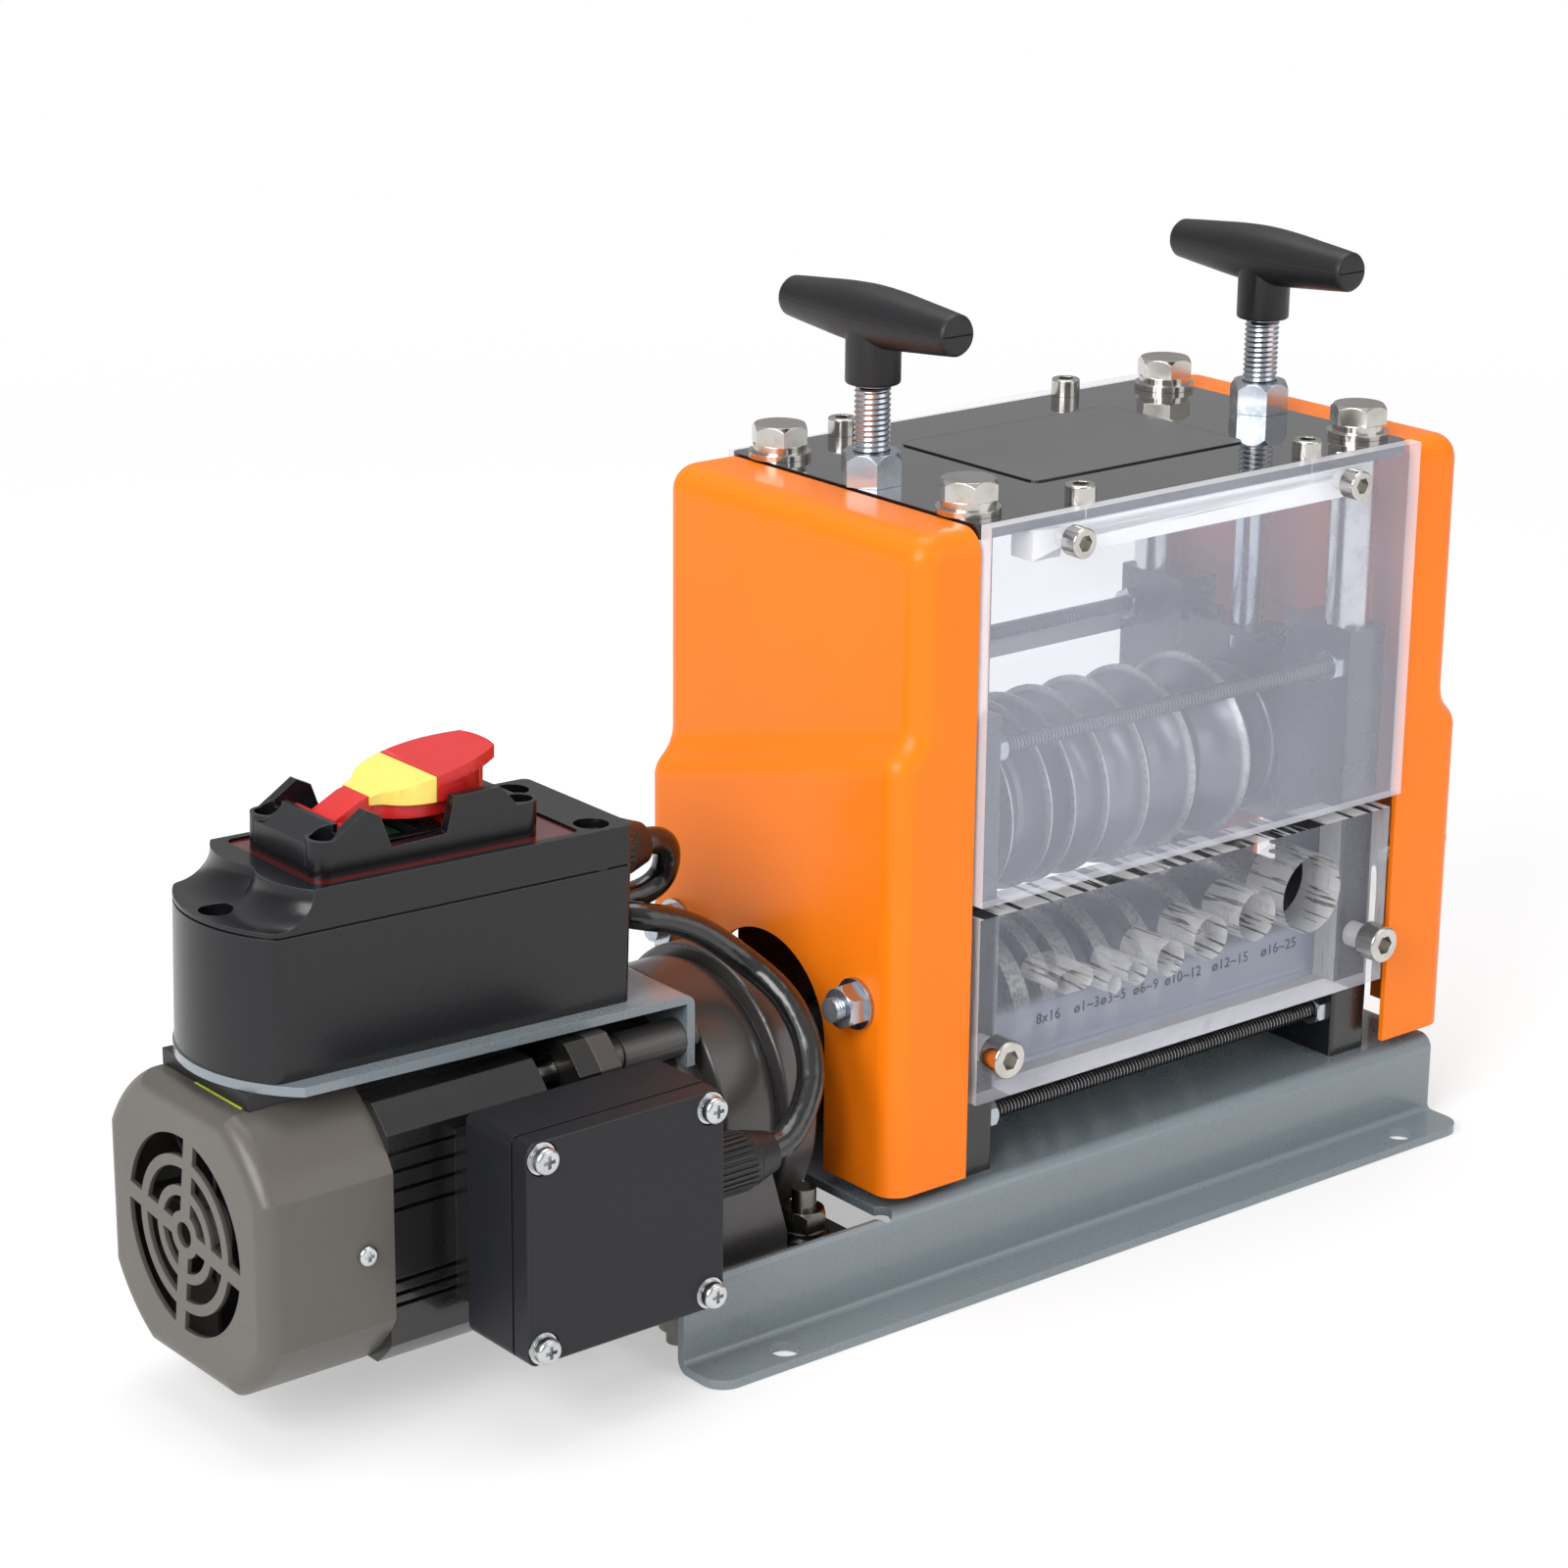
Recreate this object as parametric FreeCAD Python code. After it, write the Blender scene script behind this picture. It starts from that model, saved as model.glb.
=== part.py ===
"""Bench wire stripping machine: parts in millimetres, +Z up.

Origin: middle of the four floor mounting holes, at floor level.  +X runs from the
motor end to the far end, the cable goes in along +Y.
"""
import FreeCAD, Part
import math
import os

V = FreeCAD.Vector

# fits and clearances
THREAD_GAP = 0.05      # radial gap of a screw in its tapped hole
RUN_GAP = 0.05         # radial gap of a turning or sliding fit
BLOCK_GAP = 0.1        # gap each side of a bearing block in its window
HOLE_GAP = 0.5         # radial gap of a screw in its clearance hole
GEAR_GAP = 0.12        # gap of a gear hub face

# main layout
HEAD_X = 42.0          # middle of the stripping head
HEAD_HALF = 97.0       # half length of the head
AXIS_Z = 62.0          # motor, gearbox and feed shaft
BLADE_Z = 137.0        # cutter shaft with the press wound up
PRESS_TRAVEL = 17.0    # stroke of the press
PRESS_X = 88.0         # press screws either side of the middle
THREAD_PITCH = 1.75    # pitch of the press screws

# base
SHEET = 3.0
BASE_X0, BASE_X1 = -172.0, 166.0
WEB_Y = 65.35
FLANGE_Y = 82.85
BASE_TOP = 31.0
WEB_CUT_Z = 29.5
DECK_X0 = -89.0
MOUNT_X, MOUNT_Y, MOUNT_R = 140.0, 75.65, 5.0
PLATE_TOP = 21.0       # motor plate
PLATE_T = 4.0
FOOT_T = 4.0
FOOT_BOLTS = [(-112.7, 51.0), (-163.0, 51.0)]

# head
FRAME_T = 17.0
FRAME_Y = 57.35
FRAME_TOP = 187.0
WINDOW_Y = 26.0
WINDOW_Z = 88.0
TOP_Z0, TOP_Z1 = 247.7, 252.7
TOP_Y = 62.0
COLUMN_Y = 47.0
COLUMN_R = 8.0
PANEL_T = 5.0
PANEL_Y = 68.15
PANEL_HALF = 96.8
PANEL_Z0, PANEL_Z1 = 128.3, 253.0
PANEL_SCREW_X, PANEL_SCREW_Z = 62.6, 243.9
BAR_SCREW_X, BAR_SCREW_Y = 51.2, 58.8
GUIDE_Y = 65.35
GUIDE_HALF = 94.9
GUIDE_Z0, GUIDE_Z1 = 59.5, 123.2
GUIDE_T = 18.0
EAR_SCREW_X, EAR_SCREW_Z = 87.5, 76.0
ROD_Y, ROD_Z_LOW, ROD_Z_HIGH = 50.0, 47.7, 174.0
CROSS_Z = 166.8
CROSS_T = 5.0
CROSS_HEAD = 2.4
SPRING_Y = 20.0
SPRING_POCKET_R = 4.3
SPRING_SINK = 12.0
SPRING_RISE = 10.0
BLOCK_BOTTOM = 110.0
BLOCK_TOP = 173.0
FRAME_XS = (HEAD_X - HEAD_HALF, HEAD_X + HEAD_HALF - FRAME_T)
FRAME_MID = FRAME_T / 2.0

# shafts and bearings
SHAFT_R = 10.0
BEARING_R, BEARING_W = 21.0, 12.0
FEED_R, FEED_FLOOR_R = 30.0, 23.0
BLADE_R, BLADE_ROOT_R = 33.0, 24.0
SPRING_TURNS = 12
SPRING_WIRE_R = 0.55
SPRING_MEAN_R = 3.2

# covers
COVER_Y = 65.0
COVER_T = 2.0
COVER_IN, COVER_UP, COVER_LOW = -56.2, -80.6, -88.3
COVER_Z0, COVER_Z1 = 35.0, 252.0
SHOULDER_UP, SHOULDER_LOW, SHOULDER_FALL = 190.0, 182.0, 34.0   # at the front edge, and its fall
SHOULDER_R = 9.5
ARCH_R, ARCH_Z = 31.0, 78.0
STUD_Y, STUD_Z = 47.0, 98.0

# motor and gearbox
BODY_HALF = 42.0
BODY_X0, BODY_X1 = -264.0, -188.0
FAN_X0 = -309.0
FAN_HALF, FAN_CORNER_R = 45.0, 50.75
FAN_SCREW_X = -274.0
FAN_SCREWS = [(-1, 0, (0, -1, 0)), (1, 0, (0, 1, 0)), (0, -1, (0, 0, -1))]
BELL_R = 44.0
SIDE_GROOVES = [27.9, 22.0, 15.9, 9.7, -13.3, -17.5, -21.1]
TOP_GROOVES = [-25.0, -19.0, -13.0, 13.0, 19.0, 25.0]
GROOVE_HALF, GROOVE_DEPTH = 0.7, 2.0
BOSS_Y, BOSS_Z = 28.5, 33.0   # motor bolts from the shaft line
CASE_R = 36.0
DRUM_X0, DRUM_X1 = -139.0, -113.0
DISC_R, DISC_OUT = 47.0, 9.0  # front disc and how far it stands out of the drum
PLATE_GAP = 1.5        # gap round the drum in the motor plate
MODULE = 0.75
PINION, WHEEL = 12, 42
LAY = MODULE * (PINION + WHEEL) / 2.0

# switch box
BOX_X0, BOX_X1 = -303.0, -164.5
BOX_Y = 28.5
BOX_Z0, BOX_SEAM, BOX_Z1 = 110.5, 154.8, 168.0
END_R = 44.0           # round left end of the box
LEDGE_Z = 156.8        # ledge of the lid at the left
LOBE_X, LOBE_Y, LOBE_R = -260.1, 11.9, 25.8   # two lobes that bound the deck
COVE_R = 10.0
LID_SINK = 5.6         # radius of the sunk screw places
LID_HOLES = [(-175.5, 21.0), (-175.5, -21.0)]
LEDGE_HOLE = (-295.5, 0.0)
DECK_SINK = 1.6        # shallow recess for the gasket
SINK_X0, SINK_X1, SINK_Y = -277.0, -182.6, 25.8
FLAP_X, FLAP_Z = -257.0, 177.0
FLAP_UNDER = 182.3     # lower edge of the flap
MOD_X0, MOD_X1, MOD_Y = -273.6, -193.0, 20.5
MOD_Z0 = BOX_Z1 - DECK_SINK + 0.8
BOSS_R, BOSS_TOP = 5.4, 178.5
PIT_X0, PIT_X1, PIT_Y = -262.5, -201.5, 13.8
BUTTONS = [(-241.0, 9.0), (-214.0, 9.0)]
BUTTON_TOP = 170.5
BRACKET_X = -144.0
BRACKET_Y = 34.5
BRACKET_LEAN = 1.7     # upward lean of the plate and all that stands on it, degrees
BOX_SCREW_X = (-275.0, -200.0)

# terminal box
TBOX = (-242.5, -170.0, -83.0, -50.5, 29.9, 101.0)
LID_T = 9.0

# link cable
CABLE_R = 4.5
SWITCH_GLAND = (-164.5, 0.0, 150.0)
TERMINAL_GLAND = (-170.0, -66.5, 67.0)
CABLE_ROUTE = [
    (-165.3, 0.0, 150.7), (-144.8, 0.0, 150.1), (-127.4, 0.0, 149.5), (-127.5, 4.0, 131.0), (-156.5, 4.0, 131.0),
    (-156.5, -16.0, 134.0), (-133.0, -18.0, 127.0), (-116.5, -25.0, 112.5), (-111.0, -38.0, 104.0),
    (-111.5, -50.0, 93.5), (-115.5, -58.0, 83.0), (-123.5, -63.0, 74.0), (-134.0, -66.5, 67.0),
    (-154.0, -66.5, 67.0), (-174.0, -66.5, 67.0),
]

# guide openings: middle X, width, middle Z
GUIDES = [
    (-10.3, 16.0, 93.2),
    (7.2, 6.5, 87.3),
    (17.8, 9.0, 89.4),
    (33.0, 12.5, 90.7),
    (51.6, 15.5, 93.8),
    (73.4, 17.5, 96.7),
    (99.8, 28.0, 99.1),
]
SLOT_H = 8.0
LIPS = [-21.0, 0.0, 12.5, 24.5, 41.0, 61.0, 85.0, 117.0]
LIP_W = [5.0, 7.4, 5.6, 7.6, 6.8, 6.0, 6.0, 7.0]


# basic shapes

def box(x0, x1, y0, y1, z0, z1):
    return Part.makeBox(x1 - x0, y1 - y0, z1 - z0, V(x0, y0, z0))


def rod_x(r, x0, x1, y=0.0, z=0.0):
    return Part.makeCylinder(r, x1 - x0, V(x0, y, z), V(1, 0, 0))


def rod_y(r, y0, y1, x=0.0, z=0.0):
    return Part.makeCylinder(r, y1 - y0, V(x, y0, z), V(0, 1, 0))


def rod_z(r, z0, z1, x=0.0, y=0.0):
    return Part.makeCylinder(r, z1 - z0, V(x, y, z0), V(0, 0, 1))


def fuse(shapes):
    out = shapes[0]
    if len(shapes) > 1:
        out = out.multiFuse(shapes[1:])
    return out.removeSplitter()


def cut(shape, tools):
    return shape.cut(Part.makeCompound(tools)) if tools else shape


def prism(points, vector):
    """Closed outline of 3-D points pushed along a vector."""
    wire = Part.makePolygon([V(*p) for p in points] + [V(*points[0])])
    return Part.Face(wire).extrude(V(*vector))


def hexagon(flats, z0, z1):
    r = flats / math.sqrt(3.0)
    ring = [(r * math.cos(k * math.pi / 3), r * math.sin(k * math.pi / 3), z0) for k in range(6)]
    return prism(ring, (0, 0, z1 - z0))


def rounded(shape, radius, test):
    """Fillet of the edges whose middle point passes the test."""
    edges = []
    for edge in shape.Edges:
        mid = edge.valueAt((edge.FirstParameter + edge.LastParameter) / 2.0)
        if test(edge, mid):
            edges.append(edge)
    return shape.makeFillet(radius, edges)


def along(edge, axis):
    """True for a straight edge along an axis."""
    if edge.Curve.TypeId != "Part::GeomLine":
        return False
    d = edge.Curve.Direction
    return abs(abs(d.dot(axis)) - 1.0) < 1e-6


def place(shape, at, direction):
    """Move a shape made along +Z so that its axis points along a direction."""
    turn = FreeCAD.Rotation(V(0, 0, 1), V(*direction))
    moved = shape.copy()
    moved.Placement = FreeCAD.Placement(V(*at), turn).multiply(moved.Placement)
    return moved


def turned(profile, z, y=0.0):
    """Solid turned about a line along X; profile of (x, r) points, or three for an arc."""
    edges = []
    here = profile[0]
    for item in profile[1:]:
        if len(item) == 2:
            edges.append(Part.makeLine(V(here[0], y, z + here[1]), V(item[0], y, z + item[1])))
            here = item
        else:
            mid, end = (item[0], item[1]), (item[2], item[3])
            arc = Part.Arc(V(here[0], y, z + here[1]), V(mid[0], y, z + mid[1]), V(end[0], y, z + end[1]))
            edges.append(arc.toShape())
            here = end
    first = profile[0]
    edges.append(Part.makeLine(V(here[0], y, z + here[1]), V(first[0], y, z + first[1])))
    face = Part.Face(Part.Wire(edges))
    return face.revolve(V(0, y, z), V(1, 0, 0), 360)


def ring_x(r_out, r_in, x0, x1, y=0.0, z=AXIS_Z):
    return rod_x(r_out, x0, x1, y, z).cut(rod_x(r_in, x0 - 1, x1 + 1, y, z))


# fasteners, made with the seat at z = 0 and the shank downwards

def socket_screw(r, head_r, head_h, length, flats):
    head = rod_z(head_r, 0, head_h)
    head = rounded(head, head_h * 0.12, lambda e, m: m.z > head_h - 1e-6)
    head = head.cut(hexagon(flats, head_h * 0.45, head_h + 1))
    return head.fuse(rod_z(r, -length, 0)).removeSplitter()


def washer(r_out, r_in, z0, t):
    return rod_z(r_out, z0, z0 + t).cut(rod_z(r_in, z0 - 1, z0 + t + 1))


def spring_washer(r_out, r_in, z0, t):
    slit = box(0, r_out + 1, -0.5, 0.5, z0 - 1, z0 + t + 1)
    return washer(r_out, r_in, z0, t).cut(slit)


def chamfered_hex(flats, z0, z1):
    body = hexagon(flats, z0, z1)
    corner = flats / math.sqrt(3.0)
    cone = Part.makeCone(corner * 1.04, corner * 0.86, (z1 - z0) * 0.3, V(0, 0, z1 - (z1 - z0) * 0.3))
    return body.common(cone.fuse(rod_z(corner * 1.04, z0, z1 - (z1 - z0) * 0.3)))


def hex_bolt(r, flats, head_h, length):
    return chamfered_hex(flats, 0, head_h).fuse(rod_z(r, -length, 0)).removeSplitter()


def hex_nut(flats, bore, z0, h):
    return chamfered_hex(flats, z0, z0 + h).cut(rod_z(bore, z0 - 1, z0 + h + 1))


def ringed_rod(r, depth, pitch, z0, z1):
    """Rod with thread shaped ring grooves between z0 and z1."""
    points = [(0.0, z0), (r, z0)]
    count = int((z1 - z0) / pitch)
    for k in range(count):
        z = z0 + k * pitch
        points += [(r, z + pitch * 0.12), (r - depth, z + pitch * 0.45)]
        points += [(r - depth, z + pitch * 0.55), (r, z + pitch * 0.88)]
    points += [(r, z1), (0.0, z1)]
    wire = Part.makePolygon([V(a, 0, b) for a, b in points] + [V(0, 0, z0)])
    return Part.Face(wire).revolve(V(0, 0, 0), V(0, 0, 1), 360)


def cross_recess(z0, depth, half):
    return box(-half, half, -0.6, 0.6, z0 - depth, z0 + 1).fuse(box(-0.6, 0.6, -half, half, z0 - depth, z0 + 1))


def pan_screw(r, head_r, head_h, length):
    head = rod_z(head_r, 0, head_h)
    head = rounded(head, head_h * 0.45, lambda e, m: m.z > head_h - 1e-6)
    head = head.cut(cross_recess(head_h, head_h * 0.6, head_r * 0.5))
    return head.fuse(rod_z(r, -length, 0)).removeSplitter()


def ribbed(r_out, r_in, count, z0, z1):
    """Ribbed grip: star shaped prism."""
    ring = []
    for k in range(count):
        a = 2 * math.pi * k / count
        step = 2 * math.pi / count
        for r, f in ((r_out, -0.25), (r_out, 0.2), (r_in, 0.3), (r_in, 0.65)):
            ring.append((r * math.cos(a + f * step), r * math.sin(a + f * step), z0))
    return prism(ring, (0, 0, z1 - z0))


def toothed(teeth, x0, x1, z, start):
    """Spur gear along X; one tooth at the angle start, measured from +Y towards +Z."""
    pitch_r = MODULE * teeth / 2.0
    ring = []
    for k in range(teeth):
        a = start + 2 * math.pi * k / teeth
        for r, half in (
            (pitch_r - 1.2 * MODULE, -0.82),
            (pitch_r + 0.85 * MODULE, -0.24),
            (pitch_r + 0.85 * MODULE, 0.24),
            (pitch_r - 1.2 * MODULE, 0.82),
        ):
            b = a + half / pitch_r
            ring.append((x0, r * math.cos(b), z + r * math.sin(b)))
    return prism(ring, (x1 - x0, 0, 0))


def both(x):
    return (HEAD_X - x, HEAD_X + x)


def corners(x, y):
    return [(sx * x, sy * y) for sx in (-1, 1) for sy in (-1, 1)]


# base

def base_channel():
    outer = box(BASE_X0, BASE_X1, -WEB_Y, WEB_Y, 0, BASE_TOP)
    outer = rounded(outer, 5.0, lambda e, m: along(e, V(1, 0, 0)) and m.z > 1)
    sheet = outer.fuse(box(BASE_X0, BASE_X1, -FLANGE_Y, FLANGE_Y, 0, SHEET)).removeSplitter()
    inside = WEB_Y - SHEET
    sheet = rounded(sheet, 2.0, lambda e, m: along(e, V(1, 0, 0)) and abs(m.z - SHEET) < 1e-3 and abs(m.y) < WEB_Y + 1)
    hollow = box(BASE_X0 - 1, BASE_X1 + 1, -inside, inside, -1, BASE_TOP - SHEET)
    hollow = rounded(hollow, 2.0, lambda e, m: along(e, V(1, 0, 0)) and m.z > 1)
    sheet = sheet.cut(hollow)
    sheet = rounded(sheet, 4.5, lambda e, m: along(e, V(1, 0, 0)) and abs(m.z) < 1e-3 and abs(m.y) < WEB_Y)
    sheet = rounded(sheet, 8.0, lambda e, m: along(e, V(0, 0, 1)) and abs(m.y) > FLANGE_Y - 1)
    tools = [box(BASE_X0 - 1, DECK_X0, -WEB_Y - 1, WEB_Y + 1, WEB_CUT_Z, BASE_TOP + 1)]
    tools.append(box(BASE_X0 - 1, DECK_X0, -inside, inside, PLATE_TOP, BASE_TOP + 1))
    for side in (-1, 1):
        tools.append(rod_z(3.5, WEB_CUT_Z - 6, BASE_TOP + 1, DECK_X0, side * (WEB_Y - 4.0)))
        for x in (-1, 1):
            tools.append(rod_z(MOUNT_R, -1, SHEET + 1, x * MOUNT_X, side * MOUNT_Y))
        for x in both(PRESS_X):
            tools.append(rod_z(4.0 + HOLE_GAP, BASE_TOP - 6, BASE_TOP + 1, x, side * COLUMN_Y))
    return cut(sheet, tools)


def motor_plate():
    inside = WEB_Y - SHEET
    plate = box(BASE_X0, DECK_X0 - 3, -inside, inside, PLATE_TOP - PLATE_T, PLATE_TOP)
    tools = [rod_x(DISC_R + PLATE_GAP, DRUM_X0 - PLATE_GAP, DRUM_X1 + DISC_OUT + PLATE_GAP, 0, AXIS_Z)]
    for x, y in FOOT_BOLTS:
        for side in (-1, 1):
            tools.append(rod_z(4.0 + HOLE_GAP, 0, 30, x, side * y))
    return cut(plate, tools)


def foot_bolts():
    """Right bolts have the nut on top, left bolts have it underneath."""
    solids = []
    seat = PLATE_TOP + FOOT_T
    for x, y in FOOT_BOLTS:
        for side in (-1, 1):
            if x > -140:
                at = (x, side * y, PLATE_TOP - PLATE_T)
                solids.append(place(hex_bolt(4.0, 13.0, 5.3, 25.5), at, (0, 0, -1)))
                stack = [washer(8.5, 4.2, 0, 1.6), spring_washer(7.2, 4.2, 1.6, 2.0)]
                stack.append(hex_nut(13.0, 4.0 + THREAD_GAP, 3.6, 6.8))
                solids += [place(s, (x, side * y, seat), (0, 0, 1)) for s in stack]
            else:
                solids.append(place(socket_screw(4.0, 6.5, 8.0, 21.5, 6.0), (x, side * y, seat), (0, 0, 1)))
                stack = [washer(8.5, 4.2, 0, 1.6), hex_nut(13.0, 4.0 + THREAD_GAP, 1.6, 6.8)]
                solids += [place(s, (x, side * y, PLATE_TOP - PLATE_T), (0, 0, -1)) for s in stack]
    return Part.makeCompound(solids)


# head frame

def side_frame(x0):
    mid = x0 + FRAME_T / 2.0
    frame = box(x0, x0 + FRAME_T, -FRAME_Y, FRAME_Y, BASE_TOP, FRAME_TOP)
    frame = rounded(frame, 1.5, lambda e, m: along(e, V(0, 0, 1)))
    tools = [box(x0 - 1, x0 + FRAME_T + 1, -WINDOW_Y, WINDOW_Y, WINDOW_Z, FRAME_TOP + 1)]
    tools.append(box(x0 - 1, x0 + FRAME_T + 1, -24, 24, BASE_TOP - 1, BASE_TOP + 5))
    tools.append(rod_x(BEARING_R, mid - BEARING_W / 2, mid + BEARING_W / 2, 0, AXIS_Z))
    tools.append(rod_x(BEARING_R - 4, x0 - 1, x0 + FRAME_T + 1, 0, AXIS_Z))
    open_side = mid + BEARING_W / 2 if x0 > HEAD_X else x0 - 1
    tools.append(rod_x(BEARING_R, open_side, open_side + 6, 0, AXIS_Z))
    press_x = HEAD_X + math.copysign(PRESS_X, x0 - HEAD_X)
    for side in (-1, 1):
        tools.append(rod_z(SPRING_POCKET_R, WINDOW_Z - SPRING_SINK, WINDOW_Z + 1, mid, side * SPRING_Y))
        tools.append(rod_z(5.0 + THREAD_GAP, FRAME_TOP - 9.5, FRAME_TOP + 1, press_x, side * COLUMN_Y))
        tools.append(rod_z(4.0 + THREAD_GAP, BASE_TOP - 1, BASE_TOP + 13, press_x, side * COLUMN_Y))
        for z in (ROD_Z_LOW, ROD_Z_HIGH):
            rod_in = x0 + 5 if x0 < HEAD_X else x0 - 1
            tools.append(rod_x(3.0 + THREAD_GAP, rod_in, rod_in + 13, side * ROD_Y, z))
        out = x0 - 1 if x0 < HEAD_X else x0 + FRAME_T - 9
        tools.append(rod_x(4.0 + THREAD_GAP, out, out + 10, side * STUD_Y, STUD_Z))
    ear_x = HEAD_X + math.copysign(EAR_SCREW_X, x0 - HEAD_X)
    tools.append(rod_y(4.0 + THREAD_GAP, -FRAME_Y - 1, -FRAME_Y + 16, ear_x, EAR_SCREW_Z))
    tools.append(rod_y(2.5 + THREAD_GAP, FRAME_Y - 10, FRAME_Y + 1, mid, CROSS_Z))
    return cut(frame, tools)


def frame_screws():
    solids = []
    for x in both(PRESS_X):
        for side in (-1, 1):
            screw = socket_screw(4.0, 6.5, 8.0, 15.0, 6.0)
            solids.append(place(screw, (x, side * COLUMN_Y, BASE_TOP - SHEET), (0, 0, -1)))
    return Part.makeCompound(solids)


def spacer_columns():
    solids = []
    for x in both(PRESS_X):
        for side in (-1, 1):
            tube = washer(COLUMN_R, 5.0 + HOLE_GAP / 2, FRAME_TOP, TOP_Z0 - FRAME_TOP)
            tube.translate(V(x, side * COLUMN_Y, 0))
            solids.append(tube)
    return Part.makeCompound(solids)


def top_plate():
    plate = box(HEAD_X - HEAD_HALF, HEAD_X + HEAD_HALF, -TOP_Y, TOP_Y, TOP_Z0, TOP_Z1)
    plate = rounded(plate, 3.0, lambda e, m: along(e, V(0, 0, 1)))
    tools = []
    for x in both(PRESS_X):
        tools.append(rod_z(6.0 + HOLE_GAP, TOP_Z0 - 1, TOP_Z1 + 1, x, 0))
        for side in (-1, 1):
            tools.append(rod_z(5.0 + HOLE_GAP, TOP_Z0 - 1, TOP_Z1 + 1, x, side * COLUMN_Y))
    for x in both(BAR_SCREW_X):
        for side in (-1, 1):
            tools.append(rod_z(3.0 + HOLE_GAP / 2, TOP_Z0 - 1, TOP_Z1 + 1, x, side * BAR_SCREW_Y))
    return cut(plate, tools)


def rating_plate():
    plate = box(HEAD_X - 46, HEAD_X + 50, -32, 36, TOP_Z1, TOP_Z1 + 0.5)
    return rounded(plate, 4.0, lambda e, m: along(e, V(0, 0, 1)))


def top_bolts():
    solids = []
    for x in both(PRESS_X):
        for side in (-1, 1):
            at = (x, side * COLUMN_Y, TOP_Z1)
            parts = [washer(10.5, 5.2, 0, 2.0), spring_washer(8.9, 5.2, 2.0, 2.4)]
            bolt = hex_bolt(5.0, 17.0, 6.6, TOP_Z1 - FRAME_TOP + 9.0 + 4.4)
            bolt.translate(V(0, 0, 4.4))
            solids += [place(s, at, (0, 0, 1)) for s in parts + [bolt]]
    return Part.makeCompound(solids)


def bar_screws():
    solids = []
    for x in both(BAR_SCREW_X):
        for side in (-1, 1):
            at = (x, side * BAR_SCREW_Y, TOP_Z1)
            solids.append(place(socket_screw(3.0, 5.0, 6.0, 12.0, 5.0), at, (0, 0, 1)))
    return Part.makeCompound(solids)


def press_nuts():
    solids = []
    for x in both(PRESS_X):
        solids.append(place(hex_nut(18.0, 6.0 + RUN_GAP, 0, 10.8), (x, 0, TOP_Z1), (0, 0, 1)))
    return Part.makeCompound(solids)


def panel_bar(side):
    y_out = side * (PANEL_Y - PANEL_T)
    y_in = side * (PANEL_Y - PANEL_T - 10.0)
    bar = box(HEAD_X - 75, HEAD_X + 75, min(y_out, y_in), max(y_out, y_in), TOP_Z0 - 10, TOP_Z0)
    tools = []
    for x in both(BAR_SCREW_X):
        tools.append(rod_z(3.0 + THREAD_GAP, TOP_Z0 - 8, TOP_Z0 + 1, x, side * BAR_SCREW_Y))
    for x in both(PANEL_SCREW_X):
        tools.append(rod_y(3.0 + THREAD_GAP, min(y_out, y_in) - 1, max(y_out, y_in) + 1, x, PANEL_SCREW_Z))
    return cut(bar, tools)


def panel_bars():
    return Part.makeCompound([panel_bar(-1), panel_bar(1)])


def clear_panel(side):
    y0, y1 = sorted((side * PANEL_Y, side * (PANEL_Y - PANEL_T)))
    panel = box(HEAD_X - PANEL_HALF, HEAD_X + PANEL_HALF, y0, y1, PANEL_Z0, PANEL_Z1)
    panel = rounded(panel, 0.6, lambda e, m: abs(m.y - side * PANEL_Y) < 1e-6)
    tools = [rod_y(3.0 + HOLE_GAP / 2, y0 - 1, y1 + 1, x, PANEL_SCREW_Z) for x in both(PANEL_SCREW_X)]
    return cut(panel, tools)


def panel_screws():
    solids = []
    for side in (-1, 1):
        for x in both(PANEL_SCREW_X):
            at = (x, side * PANEL_Y, PANEL_SCREW_Z)
            solids.append(place(socket_screw(3.0, 5.0, 6.0, 14.0, 5.0), at, (0, side, 0)))
    return Part.makeCompound(solids)


def guide_block():
    """Clear entry block with one hole for each cable size."""
    ear = 8.0
    block = box(HEAD_X - GUIDE_HALF, HEAD_X + GUIDE_HALF, -GUIDE_Y, -GUIDE_Y + ear, GUIDE_Z0, GUIDE_Z1)
    inner0 = FRAME_XS[0] + FRAME_T + 0.4
    inner1 = FRAME_XS[1] - 0.4
    block = block.fuse(box(inner0, inner1, -GUIDE_Y, -GUIDE_Y + GUIDE_T, GUIDE_Z0, GUIDE_Z1)).removeSplitter()
    block = block.makeChamfer(1.2, [e for e in block.Edges if along(e, V(1, 0, 0))
                                    and abs(e.CenterOfMass.y + GUIDE_Y) < 1e-3
                                    and e.CenterOfMass.z > GUIDE_Z1 - 1])
    tools = []
    y0, y1 = -GUIDE_Y - 1, -GUIDE_Y + GUIDE_T + 1
    x, width, z = GUIDES[0]
    half = width / 2.0 - SLOT_H / 2.0
    tools += [rod_y(SLOT_H / 2, y0, y1, x - half, z), rod_y(SLOT_H / 2, y0, y1, x + half, z)]
    tools.append(box(x - half, x + half, y0, y1, z - SLOT_H / 2, z + SLOT_H / 2))
    for x, width, z in GUIDES[1:]:
        tools.append(rod_y(width / 2.0, y0, y1, x, z))
    for x in both(EAR_SCREW_X):
        tools.append(rod_y(4.0 + HOLE_GAP, y0, y1, x, EAR_SCREW_Z))
    return block.cut(fuse(tools[:3])).cut(Part.makeCompound(tools[3:]))


def guide_screws():
    solids = []
    for x in both(EAR_SCREW_X):
        solids.append(place(socket_screw(4.0, 6.5, 8.0, 22.0, 6.0), (x, -GUIDE_Y, EAR_SCREW_Z), (0, -1, 0)))
    return Part.makeCompound(solids)


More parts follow.
